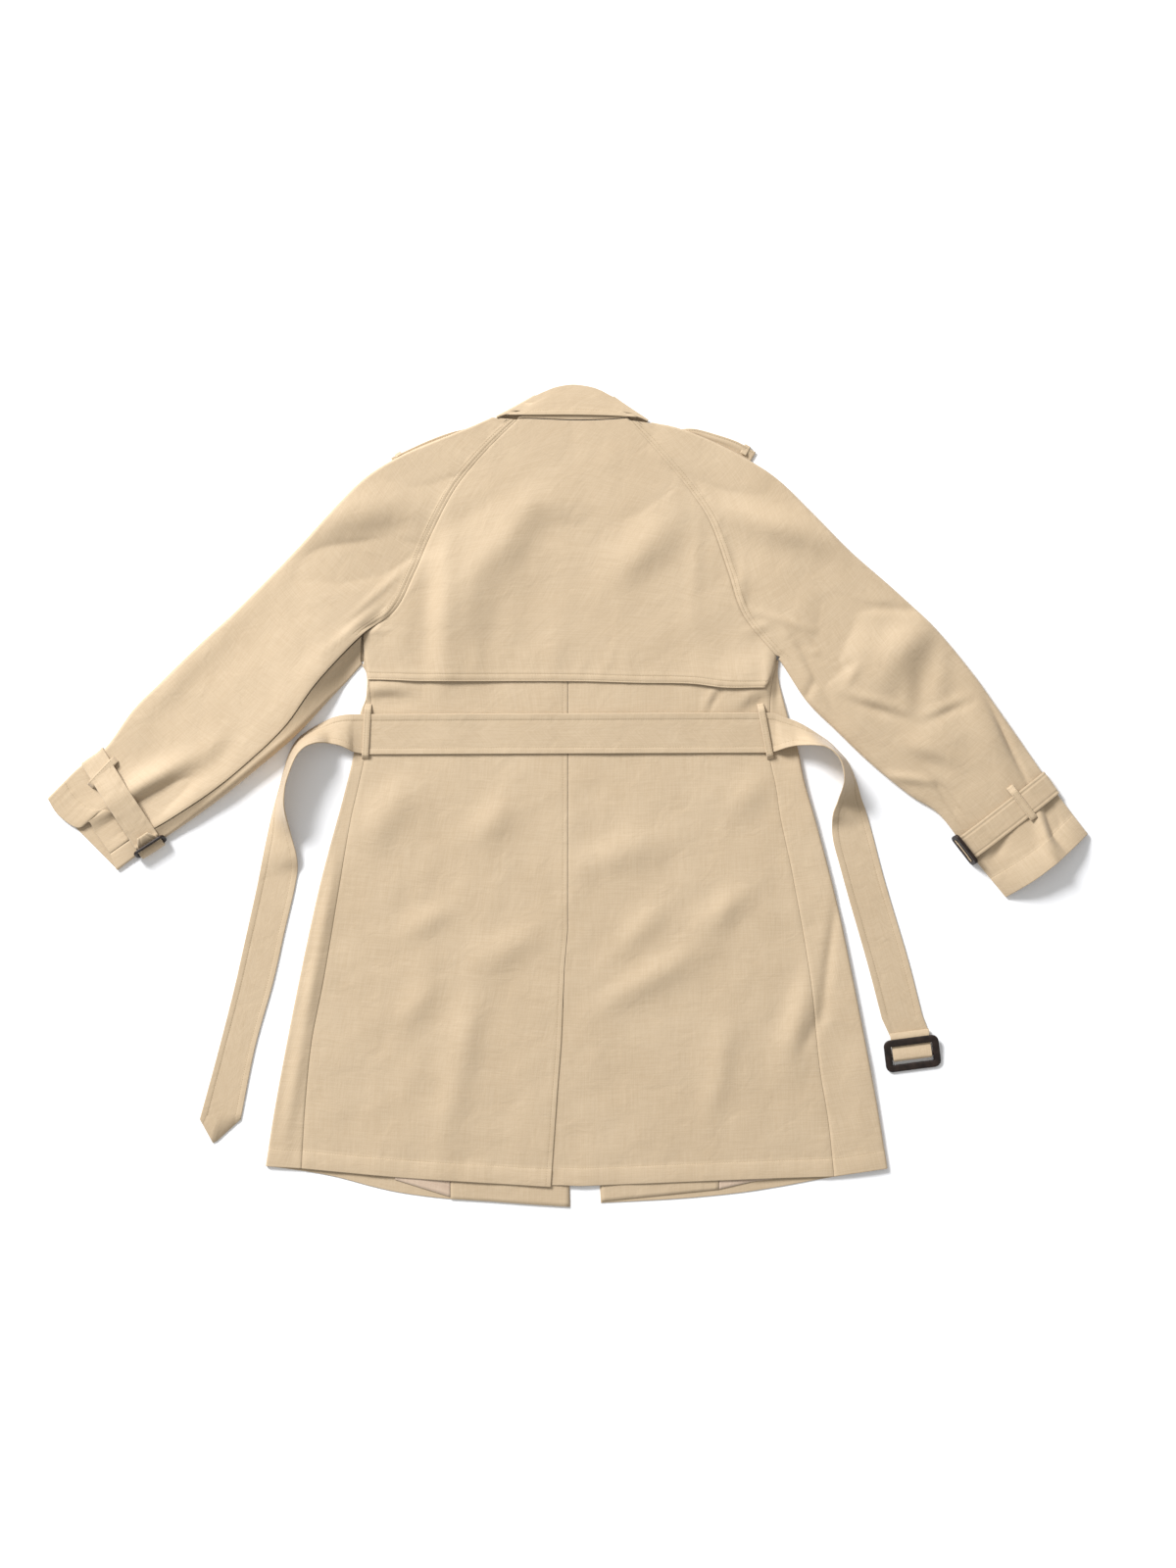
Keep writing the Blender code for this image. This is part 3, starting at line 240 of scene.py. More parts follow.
frontNeckLeft = ((-4, 388), (-30, 400), (-58, 424))
frontNeckRight = ((22, 388), (45, 400), (73, 424))
frontEdgeLeft = ((4, -511), (-1, -300), (-4, 388))
frontEdgeRight = ((42, -506), (34, -300), (22, 388))

# The collar fall's leaves: roll line and free edge. It folds at each side of the neck, so that its two
# ends lie under the fronts
leftLeaf = ((-35, 402, -74, 374), (-60, 432, -103, 405), (-58, 462, -104, 440), (-43, 491, -90, 465))
backLeaf = ((-30, 502.5, -76, 474), (-13, 509, -42, 474), (8, 512, 8, 474), (30, 509, 55, 473),
             (43, 504.5, 88, 471))
rightLeaf = ((59, 490, 103, 461), (74, 460, 119, 438), (76, 431, 118, 404), (52, 402, 90, 373))
leftCollarFold = (-40, 499, -88.5, 473)
rightCollarFold = (58, 497.5, 101.5, 468.5)
fallInnerHeight = 7.4  # the free edge clears the shoulders
crestInnerHeight = 4.0

# The belt's two ends, from the belt loop outwards: outer and inner edge. Where these lie closer than the
# belt is wide, the belt stands up, its outer edge higher by what is missing
beltLeftRows = (
    (-264, 102, -266, 55),
    (-278, 101, -280, 62),
    (-293, 97, -293, 65),
    (-308, 89, -304, 66),
    (-323, 80, -314, 64.5),
    (-336, 69, -324, 60),
    (-345, 53, -333, 50),
    (-351, 34, -341, 32),
    (-357, 12, -347, 11),
    (-364, -13, -348, -14),
    (-372, -45, -342, -47),
    (-379, -78, -335, -79),
    (-387, -118, -338, -110),
    (-401, -181, -352, -171),
    (-415, -243, -366, -233),
    (-436, -325, -388, -312),
    (-457, -402, -406, -402),
)
beltTip = (-440, -433)
beltRightRows = (
    (258, 103, 259, 55.2),
    (271, 98, 273, 60),
    (285, 93, 286, 62.5),
    (299, 85, 300, 63),
    (313, 76, 311, 62.5),
    (326, 67, 321, 60),
    (338, 55, 331, 53),
    (349, 42, 339, 40),
    (358, 22, 342, 18),
    (366, -2, 336, -5),
    (373, -22, 330, -24),
    (381, -51, 331, -53),
    (390, -86, 340, -88),
    (401, -125, 351, -128),
    (424, -202, 374, -208),
    (442, -272, 392, -277),
)

# Epaulettes: outer edge and hidden inner edge, from the neck to the shoulder point
epauletteLeftRows = (
    (-128, 457, -118, 436),
    (-150, 451, -138, 425),
    (-176, 441, -163, 413),
    (-204, 428, -190, 400),
    (-219, 421, -206, 393),
)
epauletteRightRows = (
    (141, 457, 131, 436),
    (160, 457, 148, 428),
    (186, 450, 170, 418),
    (212, 441, 194, 407),
    (235, 428, 216, 396),
)

# The cuff straps' ends beside their buckles: distance in from the underarm edge, and height
leftStrapTip = ((13.5, 22.3), (9.5, 20.8), (5.5, 18.2), (2.4, 15.2), (-1.4, 14.8), (-5.6, 14.6),
                  (-9.2, 11.6), (-10.6, 7.4), (-9.8, 3.6), (-8.2, 1.3), (-5, 0.8))
leftStrapHook = ((0.5, 9.0), (-2.6, 9.2), (-5.1, 10.2), (-5.8, 12.3))
rightStrapHook = ((0.8, 9.0), (-2.4, 7.8), (-5.1, 8.1), (-6.3, 10.3))

# The buckle: middle of its frame, its turn, and its parts
buckleX = 429.5
buckleY = -320.0
buckleTurn = 7.4
buckleSize = (69.0, 41.0)
buckleRail = (9.0, 3.6)  # width and thickness
buckleCorner = 7.0
buckleSlope = 8.0  # the frame leans on the belt's fold
buckleHeight = 4.6
barAlong = 3.6  # from the buckle's middle towards the belt's end
buckleBarRadius = 1.5
cuffBuckleSize = (44.0, 20.0)
cuffBuckleRail = (4.8, 3.2)
cuffBuckleCorner = 4.0
cuffBarRadius = 1.3

# Finer creases of the upper cloth, in the same columns
creases = (
    # Cape
    (93, 367, 53, 45, 12, -1.4, 0),
    (-123, 348, 30, 55, 14, -1.3, 0),
    (-15, 346, -5, 64, 26, 2.6, 1),
    (-108, 232, 80, 60, 28, 2.2, 1),
    (199, 302, -73, 78, 7, 1.5, 0),
    (53, 172, 67, 22, 5, 0.7, 0),
    (20, 165, 62, 18, 5, 0.5, 0),
    (256, 143, 90, 32, 9, 5.0, 1),
    (-226, 126, 0, 26, 12, 7.0, 1),
    (180, 119, 62, 18, 6, 3.0, 1),
    (231, 119, 30, 25, 10, 3.5, 1),
    (160, 290, 85, 60, 9, 1.0, 0),
    (-112, 170, 82, 30, 8, 0.8, 0),
    # Left sleeve
    (-482, 148, 45, 85, 16, 3.4, 0),
    (-352, 277, 45, 95, 13, 1.2, 0),
    (-236, 252, 42, 45, 5, 1.5, 0),
    (-217, 236, 46, 30, 5, 0.9, 0),
    (-262, 212, 40, 34, 6, 2.6, 0),
    (-243, 212, 24, 20, 4, -1.8, 0),
    (-228, 222, 62, 18, 3.5, 1.2, 0),
    (-236, 205, 8, 14, 3.5, 1.0, 0),
    (-430, 62, 50, 26, 14, 1.2, 1),
    # Right sleeve
    (386, 112, -18, 34, 8, 3.4, 1),
    (548, 66, -64, 50, 4, -5.0, 0),
    (390, 233, -3, 52, 6, -2.4, 0),
    (430, 130, 88, 30, 14, 1.8, 1),
    (330, 152, 28, 26, 6, -1.8, 0),
    (300, 128, 62, 24, 5, -1.6, 0),
    (480, -12, -55, 36, 5, -6.5, 0),
    (426, 22, -8, 28, 6, 3.4, 0),
    (270, 218, -17, 60, 5, 1.2, 0),
    (218, 258, 88, 26, 7, 1.6, 0),
    (240, 210, 20, 14, 6, 1.8, 0),
    (300, 160, 119, 48, 8, 2.4, 1),
    (318, 180, 14, 20, 7, 2.2, 0),
    (354, 150, 60, 15, 6, 1.8, 0),
    (465, 149, 85, 38, 12, 2.6, 0),
    (471, 108, 24, 26, 7, 2.2, 1),
    (453, 48, -20, 30, 12, 2.6, 1),
    (532, -62, 55, 16, 9, 3.5, 1),
    # Skirt
    (-299, -140, 80, 62, 9, 3.6, 0),
    (-318, -240, 80, 62, 9, 3.8, 0),
    (-337, -350, 80, 62, 9, 3.4, 0),
    (326, -200, 83, 70, 6, -3.0, 0),
    (306, -290, 62, 34, 8, -2.0, 0),
)


def catmullRom(padded, step):
    index = min(int(step), len(padded) - 4)
    t = step - index
    a, b, c, d = padded[index:index + 4]
    bend = (2 * a - 5 * b + 4 * c - d) * t * t
    return 0.5 * (2 * b + (c - a) * t + bend + (3 * b - a - 3 * c + d) * t ** 3)


def rowsAt(rows, steps):
    table = np.array(rows, float)
    padded = np.vstack([2 * table[0] - table[1], table, 2 * table[-1] - table[-2]])
    return np.array([catmullRom(padded, step) for step in steps])


def spline(points, count):
    points = np.asarray(points, float)
    curve = rowsAt(points, np.linspace(0, len(points) - 1, 12 * (len(points) - 1) + 1))
    lengths = np.concatenate([[0], np.cumsum(np.linalg.norm(np.diff(curve, axis=0), axis=1))])
    wanted = np.linspace(0, lengths[-1], count)
    return np.stack([np.interp(wanted, lengths, column) for column in curve.T], axis=1)


def smoothStep(t):
    t = np.clip(t, 0, 1)
    return t * t * (3 - 2 * t)


def hills(x, y, table, power):
    for middleX, middleY, heading, length, width, height, step in table:
        cosine = math.cos(math.radians(heading))
        sine = math.sin(math.radians(heading))
        along = (x - middleX) * cosine + (y - middleY) * sine
        across = (y - middleY) * cosine - (x - middleX) * sine
        shape = height * (1 - step + 1.6 * step * across / width)
        yield shape * np.exp(-np.abs(along / length) ** power - np.abs(across / width) ** power)


def waves(t, seed):
    # Uneven waves of unit height along a seam.
    total = 0
    for k, (rate, size) in enumerate(((1.0, 0.5), (1.73, 0.3), (2.61, 0.25), (0.41, 0.4))):
        total = total + size * np.sin(rate * t + 1.7 * seed + 2.3 * k + 0.6 * np.sin(0.37 * t + seed))
    return total


def rumple(x, y):
    # The cloth's own unevenness.
    draw = np.random.default_rng(relief["rumpleSeed"])
    total = np.zeros(np.broadcast(x, y).shape)
    for _ in range(relief["rumpleCount"]):
        heading = draw.uniform(0, math.pi)
        span = draw.uniform(*relief["rumpleSpan"])
        phase, slow = draw.uniform(0, 6.28, 2)
        line = (x * math.cos(heading) + y * math.sin(heading)) * 6.283 / span
        other = (y * math.cos(heading) - x * math.sin(heading)) * 2.2 / span
        total = total + np.sin(line + phase + 0.9 * np.sin(other + slow)) * span / 60
    return total * relief["rumpleHeight"]


def creased(x, y):
    # Fine creases of the upper cloth, on top of the long folds.
    return sum(hills(x, y, creases, 2)) + rumple(x, y)


def billow(x, y, finer=0):
    # The belt presses the body flat.
    pressed = 0.92 * np.exp(-((y - beltLine) / 44) ** 2) * smoothStep((300 - np.abs(x)) / 40)
    raised = relief["foldGain"] * sum(hills(x, y, folds, 2)) + finer
    return raised * (1 - pressed) + sum(hills(x, y, cuffFolds, 2))


def liftedBy(x, y, power=6):
    return np.max(list(hills(x, y, underlays, power)), axis=0)


def floorWall(x, y):
    over = billow(x, y) - 1.8
    settled = np.where(over < -0.5, 0, np.where(over > 0.5, over, (over + 0.5) ** 2 / 2))
    return cloth + np.maximum(settled, liftedBy(x, y))


def backWall(x, y):
    lifted = np.maximum(0.9 * liftedBy(x, y, 2.4) - 1.2, liftedBy(x, y) - 1.3)
    return cloth + bodyGap + np.maximum(billow(x, y, creased(x, y)), lifted)


def shieldWall(x, y):
    return backWall(x, y) + cloth + shieldGap


def coons(bottom, top, left, right):
    across = np.linspace(0, 1, len(bottom))[None, :, None]
    along = np.linspace(0, 1, len(left))[:, None, None]
    bottom, top = np.asarray(bottom)[None], np.asarray(top)[None]
    left, right = np.asarray(left)[:, None], np.asarray(right)[:, None]
    corners = (
        (1 - across) * (1 - along) * bottom[:, :1]
        + across * (1 - along) * bottom[:, -1:]
        + (1 - across) * along * top[:, :1]
        + across * along * top[:, -1:]
    )
    return (1 - along) * bottom + along * top + (1 - across) * left + across * right - corners


def insetLine(line, other, inset):
    towards = other - line
    length = np.maximum(np.linalg.norm(towards, axis=-1, keepdims=True), 1e-6)
    return line + towards / length * np.minimum(inset, 0.45 * length)


def withHeight(flat, height):
    return np.concatenate([flat, np.broadcast_to(height, flat.shape[:-1])[..., None]], axis=-1)


def levelled(flat, level, upper=backWall):
    x, y = flat[..., 0], flat[..., 1]
    return withHeight(flat, (1 - level) * floorWall(x, y) + level * upper(x, y))


def sideRoll(count=9, puff=0.0):
    turns = np.radians(np.linspace(90, -90, count))
    radius = foldInset + foldShare * puff
    return [(cloth + radius * (1 - math.cos(turn)), (1 + math.sin(turn)) / 2) for turn in turns]


def edgeDistances(grid):
    # Millimetres from the first column and row and from the last ones, along the cloth.
    across = np.linalg.norm(np.diff(grid, axis=1), axis=2)
    along = np.linalg.norm(np.diff(grid, axis=0), axis=2)
    left = np.concatenate([np.zeros((len(grid), 1)), np.cumsum(across, axis=1)], axis=1)
    bottom = np.concatenate([np.zeros((1, grid.shape[1])), np.cumsum(along, axis=0)], axis=0)
    return left, left[:, -1:] - left, bottom, bottom[-1:] - bottom


def marksFor(lines):
    # Where a grid needs points so that a stitched line keeps its groove.
    marks = [0.0, 0.8]
    for line in lines:
        marks += [line - 1.5, line - 0.7, line, line + 0.7, line + 1.5]
    return sorted(set(round(mark, 2) for mark in marks if mark >= 0))


def resampled(grid, axis, firstLines=(), lastLines=(), count=None):
    # The grid with extra points beside the stitched lines of its first and last edges.
    if axis == 0:
        return resampled(grid.transpose(1, 0, 2), 1, firstLines, lastLines, count).transpose(1, 0, 2)
    count = count or grid.shape[1]
    first, last = np.array(marksFor(firstLines)), np.array(marksFor(lastLines))[::-1]
    made = []
    for line in grid:
        lengths = np.concatenate([[0], np.cumsum(np.linalg.norm(np.diff(line, axis=0), axis=1))])
        total = lengths[-1]
        room = min(1.0, 0.45 * total / max(first[-1] + 3, last[0] + 3))
        start, stop = (first[-1] + 2.5) * room, total - (last[0] + 2.5) * room
        wanted = np.concatenate([first * room, np.linspace(start, stop, count), total - last * room])
        made.append(np.stack([np.interp(wanted, lengths, column) for column in line.T], axis=1))
    return np.array(made)


def seamRelief(distance, other, lines=(), lap=0.0, edgeDip=0.0, seed=0.0):
    # Grooves under stitched lines, the raised band of a lapped or turned edge, and its pucker.
    height = -edgeDip * np.exp(-(distance / 1.3) ** 2)
    if lap:
        height = height + relief["lapHeight"] * smoothStep((lap - distance) / 1.2)
    for line in lines:
        height = height - relief["grooveDepth"] * np.exp(-((distance - line) / 0.8) ** 2)
        pucker = np.exp(-((distance - line) / relief["puckerReach"]) ** 2)
        height = height + relief["puckerHeight"] * waves(other / relief["puckerSpan"], seed + line) * pucker
    return height


def hemRelief(distance, other, facts, dip, seed, gain=1.6):
    lap = facts["hemLine"] + 1.5
    return gain * seamRelief(distance, other, (facts["hemLine"],), lap, dip, seed)


def lineOn(grid, side, distance, lift=0.05, trim=(0, 0), thickness=0.0):
    # The points of a stitched line at one distance from an edge of the grid.
    if side in ("bottom", "top"):
        grid = grid.transpose(1, 0, 2)
    if side in ("right", "top"):
        grid = grid[:, ::-1]
    points = []
    for line in grid[trim[0]:len(grid) - trim[1]]:
        lengths = np.concatenate([[0], np.cumsum(np.linalg.norm(np.diff(line, axis=0), axis=1))])
        points.append([np.interp(distance, lengths, column) for column in line.T])
    points = np.array(points)
    points[:, 2] += lift + thickness
    return points


def gridNormals(grid, facesUp):
    across, along = np.gradient(grid, axis=1), np.gradient(grid, axis=0)
    normal = np.cross(across, along)
    size = np.linalg.norm(normal, axis=2, keepdims=True)
    flip = (normal[..., 2].sum() > 0) != facesUp
    normal = normal / np.maximum(size, 1e-9)
    return (-normal if flip else normal), flip


def clothPiece(name, grid, wall, facesUp, finish, skipped=None, offset=1.0, uvTurn=0.0):
    # A thin closed shell through a grid of points, with rounded edges and a flat map in metres.
    grid = np.asarray(grid, float)
    rows, cols = grid.shape[:2]
    normal, flip = gridNormals(grid, facesUp)
    outer = (grid + normal * wall * (1 + offset) / 2).reshape(-1, 3)
    inner = (grid - normal * wall * (1 - offset) / 2).reshape(-1, 3)
    kept = np.ones((rows - 1, cols - 1), bool) if skipped is None else ~skipped
    row, col = np.nonzero(kept)
    a = row * cols + col
    quads = np.stack([a, a + 1, a + cols + 1, a + cols], axis=1)
    if flip:
        quads = quads[:, ::-1]
    tails, heads = quads, np.roll(quads, -1, axis=1)
    codes, backs = tails * (rows * cols) + heads, heads * (rows * cols) + tails
    free = ~np.isin(codes, backs)
    i, j = tails[free], heads[free]
    centres = grid.reshape(-1, 3)[quads].mean(axis=1)
    centre = np.repeat(centres[:, None], 4, axis=1)[free]
    points = grid.reshape(-1, 3)
    push = (points[i] + points[j]) / 2 - centre
    along = points[j] - points[i]
    along /= np.maximum(np.linalg.norm(along, axis=1, keepdims=True), 1e-9)
    push -= (push * along).sum(axis=1, keepdims=True) * along
    outward = np.zeros_like(points)
    np.add.at(outward, i, push)
    np.add.at(outward, j, push)
    outward /= np.maximum(np.linalg.norm(outward, axis=1, keepdims=True), 1e-9)
    rim = np.unique(np.concatenate([i, j]))
    outer[rim] -= outward[rim] * wall * 0.22
    inner[rim] -= outward[rim] * wall * 0.22
    middle = (outer[rim] + inner[rim]) / 2 + outward[rim] * wall * 0.3
    place = np.full(rows * cols, -1)
    place[rim] = np.arange(len(rim)) + 2 * rows * cols
    under = rows * cols
    allQuads = np.concatenate([
        quads,
        quads[:, ::-1] + under,
        np.stack([j, i, place[i], place[j]], axis=1),
        np.stack([place[j], place[i], i + under, j + under], axis=1),
    ])
    left, _, bottom, _ = edgeDistances(grid)
    flatMap = np.stack([left, bottom], axis=-1).reshape(-1, 2) / 1000
    turn = math.radians(uvTurn)
    flatMap = flatMap @ np.array(((math.cos(turn), math.sin(turn)), (-math.sin(turn), math.cos(turn))))
    flatMap = np.concatenate([flatMap, flatMap, flatMap[rim]])
    everyPoint = np.concatenate([outer, inner, middle]) / 1000
    used = np.unique(allQuads)
    renumber = np.zeros(len(everyPoint), int)
    renumber[used] = np.arange(len(used))
    mesh = bpy.data.meshes.new(name)
    mesh.from_pydata(everyPoint[used].tolist(), [], renumber[allQuads].tolist())
    layer = mesh.uv_layers.new(name="cloth")
    corners = np.zeros(len(mesh.loops), np.int32)
    mesh.loops.foreach_get("vertex_index", corners)
    layer.data.foreach_set("uv", flatMap[used][corners].astype(np.float32).ravel())
    mesh.shade_smooth()
    mesh.materials.append(finish)
    piece = addObject(name, mesh)
    area = sum(polygon.area for polygon in mesh.polygons) / 2
    lengths = edgeDistances(grid)
    print(f"{name}: {len(mesh.polygons) * 2} triangles, {lengths[0][:, -1].max():.0f} x "
          f"{lengths[2][-1].max():.0f} mm, {area:.4f} m2")
    return piece


def addObject(name, data):
    made = bpy.data.objects.new(name, data)
    bpy.context.scene.collection.objects.link(made)
    return made


def keep(piece, slotName, *nodes):
    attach(piece, "root")
    if nodes:
        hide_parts(*nodes)


def linear(text):
    # An sRGB hex colour as the linear values the shaders take.
    values = [int(text[i:i + 2], 16) / 255 for i in (1, 3, 5)]
    return (*[v / 12.92 if v <= 0.04045 else ((v + 0.055) / 1.055) ** 2.4 for v in values], 1)


def node(tree, kind, settings=(), links=(), **attributes):
    # Adds a node, sets what it is given and links its inputs.
    made = tree.nodes.new(kind)
    for key, value in attributes.items():
        setattr(made, key, value)
    for key, value in dict(settings).items():
        made.inputs[key].default_value = value
    for key, source in dict(links).items():
        tree.links.new(source, made.inputs[key])
    return made


def newMaterial(name):
    made = bpy.data.materials.new(name)
    made.use_nodes = True
    made.node_tree.nodes.clear()
    return made, made.node_tree


gabardineLook = {
    "light": "#bfaa8c",
    "dark": "#b6a081",
    "twillPitch": 0.9,
    "twillDepth": 0.05,
    "slub": 0.8,
    "crumple": 0.9,
    "roughness": 0.7,
    "sheen": 0.25,
}


def clothMaterial(name, look):
    # Steep twill from the flat map in millimetres, with uneven yarns and soft colour blotches.
    made, tree = newMaterial(name)
    uv = node(tree, "ShaderNodeUVMap", uv_map="cloth").outputs[0]
    place = node(tree, "ShaderNodeTexCoord").outputs["Object"]
    turned = node(tree, "ShaderNodeMapping", {"Rotation": (0, 0, math.radians(27)), "Scale": (1000, 1000, 1)},
                  {"Vector": uv}).outputs[0]
    yarn = node(tree, "ShaderNodeTexNoise", {"Scale": 0.9, "Detail": 3, "Roughness": 0.6},
                {"Vector": turned}).outputs[0]
    twill = node(tree, "ShaderNodeTexWave",
                 {"Scale": 6.283 / look["twillPitch"] / 20, "Distortion": 0.6, "Detail": 1,
                  "Detail Scale": 0.6}, {"Vector": turned}, bands_direction="X").outputs["Fac"]
    blotch = node(tree, "ShaderNodeTexNoise", {"Scale": 9, "Detail": 3, "Roughness": 0.55},
                  {"Vector": place}).outputs[0]
    speckle = node(tree, "ShaderNodeTexNoise", {"Scale": 700, "Detail": 2, "Roughness": 0.6},
                   {"Vector": place}).outputs[0]
    shade = node(tree, "ShaderNodeMath", {1: 0.55}, {0: blotch}, operation="MULTIPLY").outputs[0]
    shade = node(tree, "ShaderNodeMath", {1: 0.3}, {0: speckle, 2: shade},
                 operation="MULTIPLY_ADD").outputs[0]
    shade = node(tree, "ShaderNodeMath", {1: 0.16}, {0: twill, 2: shade},
                 operation="MULTIPLY_ADD").outputs[0]
    for scale in ((24, 640, 1), (640, 24, 1)):
        drawn = node(tree, "ShaderNodeMapping", {"Scale": scale}, {"Vector": uv}).outputs[0]
        yarns = node(tree, "ShaderNodeTexNoise", {"Scale": 1, "Detail": 2, "Roughness": 0.7},
                     {"Vector": drawn}).outputs[0]
        yarns = node(tree, "ShaderNodeMath", {1: 0.5}, {0: yarns}, operation="SUBTRACT").outputs[0]
        shade = node(tree, "ShaderNodeMath", {1: look["slub"]}, {0: yarns, 2: shade},
                     operation="MULTIPLY_ADD").outputs[0]
    ramp = node(tree, "ShaderNodeValToRGB", links={"Fac": shade})
    ramp.color_ramp.elements[0].position = 0.3
    ramp.color_ramp.elements[1].position = 0.7
    ramp.color_ramp.elements[0].color = linear(look["dark"])
    ramp.color_ramp.elements[1].color = linear(look["light"])
    crumple = node(tree, "ShaderNodeTexNoise",
                   {"Scale": 34, "Detail": 4, "Roughness": 0.55, "Distortion": 0.8},
                   {"Vector": place}).outputs[0]
    bumpWide = node(tree, "ShaderNodeBump", {"Strength": 1.0, "Distance": look["crumple"] / 1000},
                    {"Height": crumple}).outputs[0]
    bumpLow = node(tree, "ShaderNodeBump", {"Strength": 0.35, "Distance": 0.0004},
                   {"Height": yarn, "Normal": bumpWide}).outputs[0]
    bump = node(tree, "ShaderNodeBump", {"Strength": 0.5, "Distance": look["twillDepth"] / 1000},
                {"Height": twill, "Normal": bumpLow}).outputs[0]
    shader = node(tree, "ShaderNodeBsdfPrincipled",
                  {"Roughness": look["roughness"], "Sheen Weight": look["sheen"], "Sheen Roughness": 0.5,
                   "IOR": 1.4, "Specular IOR Level": 0.6},
                  {"Base Color": ramp.outputs[0], "Normal": bump})
    node(tree, "ShaderNodeOutputMaterial", links={"Surface": shader.outputs[0]})
    return made


def threadMaterial():
    # Matt spun polyester, a shade darker than the cloth, so that the rows read as fine lines.
    made, tree = newMaterial("sewing_thread")
    uv = node(tree, "ShaderNodeTexCoord").outputs["Object"]
    ply = node(tree, "ShaderNodeTexNoise", {"Scale": 2500, "Detail": 1}, {"Vector": uv}).outputs[0]
    bump = node(tree, "ShaderNodeBump", {"Strength": 0.4, "Distance": 0.0001}, {"Height": ply}).outputs[0]
    shader = node(tree, "ShaderNodeBsdfPrincipled",
                  {"Base Color": linear(stitchLook["colour"]), "Roughness": 0.6, "Sheen Weight": 0.2},
                  {"Normal": bump})
    node(tree, "ShaderNodeOutputMaterial", links={"Surface": shader.outputs[0]})
    return made


def leatherMaterial():
    # Dark brown leather drawn over the buckle frames, with a fine grain and slightly lighter worn places.
    made, tree = newMaterial("leather_covered_frame")
    place = node(tree, "ShaderNodeTexCoord").outputs["Object"]
    grain = node(tree, "ShaderNodeTexVoronoi", {"Scale": 1400}, {"Vector": place},
                 distance="EUCLIDEAN").outputs[0]
    wear = node(tree, "ShaderNodeTexNoise", {"Scale": 120, "Detail": 4}, {"Vector": place}).outputs[0]
    ramp = node(tree, "ShaderNodeValToRGB", links={"Fac": wear})
    ramp.color_ramp.elements[0].position = 0.35
    ramp.color_ramp.elements[0].color = linear(buckleLook["dark"])
    ramp.color_ramp.elements[1].position = 0.75
    ramp.color_ramp.elements[1].color = linear(buckleLook["worn"])
    bump = node(tree, "ShaderNodeBump", {"Strength": 0.25, "Distance": 0.0001}, {"Height": grain}).outputs[0]
    shader = node(tree, "ShaderNodeBsdfPrincipled",
                  {"Roughness": buckleLook["roughness"], "Specular IOR Level": 0.3},
                  {"Base Color": ramp.outputs[0], "Normal": bump})
    node(tree, "ShaderNodeOutputMaterial", links={"Surface": shader.outputs[0]})
    return made


stitchLook = {"colour": "#a18d6c", "pitch": 3.1, "length": 2.3, "width": 0.55}
buckleLook = {"dark": "#1a120e", "worn": "#33261f", "roughness": 0.5}
liningLook = dict(gabardineLook, light="#c8b39c", dark="#b9a18a", sheen=0.5, roughness=0.5, twillDepth=0.02)
gabardine = clothMaterial("cotton_gabardine_twill", gabardineLook)
lining = clothMaterial("viscose_lining_twill", liningLook)
thread = threadMaterial()
leather = leatherMaterial()


def sleeveSteps(above, below):
    return np.concatenate([np.linspace(0, armpitRow, above), np.linspace(armpitRow, hemRow, below + 1)[1:]])


def puffAt(puff, steps, fractions):
    # The puff at fractions of the way from the seam to the overarm fold, for every row.
    rows = rowsAt(puff, steps)[:, None]
    across = np.atleast_1d(fractions)[None, :]
    seam, middle, outer = rows[..., 0], rows[..., 1], rows[..., 2]
    shape = seam * (1 - across) * (1 - 2 * across) + middle * 4 * across * (1 - across)
    return np.maximum(shape + outer * across * (2 * across - 1), 0)


def sleeveUpper(flat, steps, puff=0.0):
    # The upper half lies at the storm shield's level along the raglan seam and lower towards the cuff.
    fade = 1 - smoothStep((steps[:, None] - shieldLevel[0]) / shieldLevel[1])
    return backWall(flat[..., 0], flat[..., 1]) + fade * (cloth + shieldGap) + puff


def turnedColumns(edge, inward, start, roll, high):
    # Columns round a fold, from the upper wall's edge down to the floor wall.
    columns = []
    for inset, level in roll[1:]:
        flat = (edge - inward * (start - inset))[:, None]
        low = floorWall(flat[..., 0], flat[..., 1])
        columns.append(withHeight(flat, (1 - level) * low + level * high))
    columns.append(levelled((edge + inward * (floorInset - start))[:, None], 0.0))
    return columns


def edgeOf(upper, last):
    # The flat points of a grid's first or last column and the way in from them.
    edge, next_ = (upper[:, -1, :2], upper[:, -4, :2]) if last else (upper[:, 0, :2], upper[:, 3, :2])
    inward = next_ - edge
    return edge, inward / np.maximum(np.linalg.norm(inward, axis=1, keepdims=True), 1e-6)


def rimAlong(steps):
    # Where the underarm seam's rim stands up, from below the armpit to above the cuff.
    return smoothStep((steps - armpitRow - 0.2) / 0.6) * (1 - smoothStep((steps - 10.8) / 1.2))


def sleeveLines(table, facts):
    # Stations, the three lines that bound a sleeve's halves, and which rows are below the armpit.
    steps = sleeveSteps(facts["rowsAbove"], facts["rowsBelow"])
    rows = rowsAt(table, steps)
    below = (np.arange(len(rows)) >= facts["rowsAbove"] - 1)[:, None]
    return steps, rows[:, 0:2], rows[:, 2:4], rows[:, 4:6], below


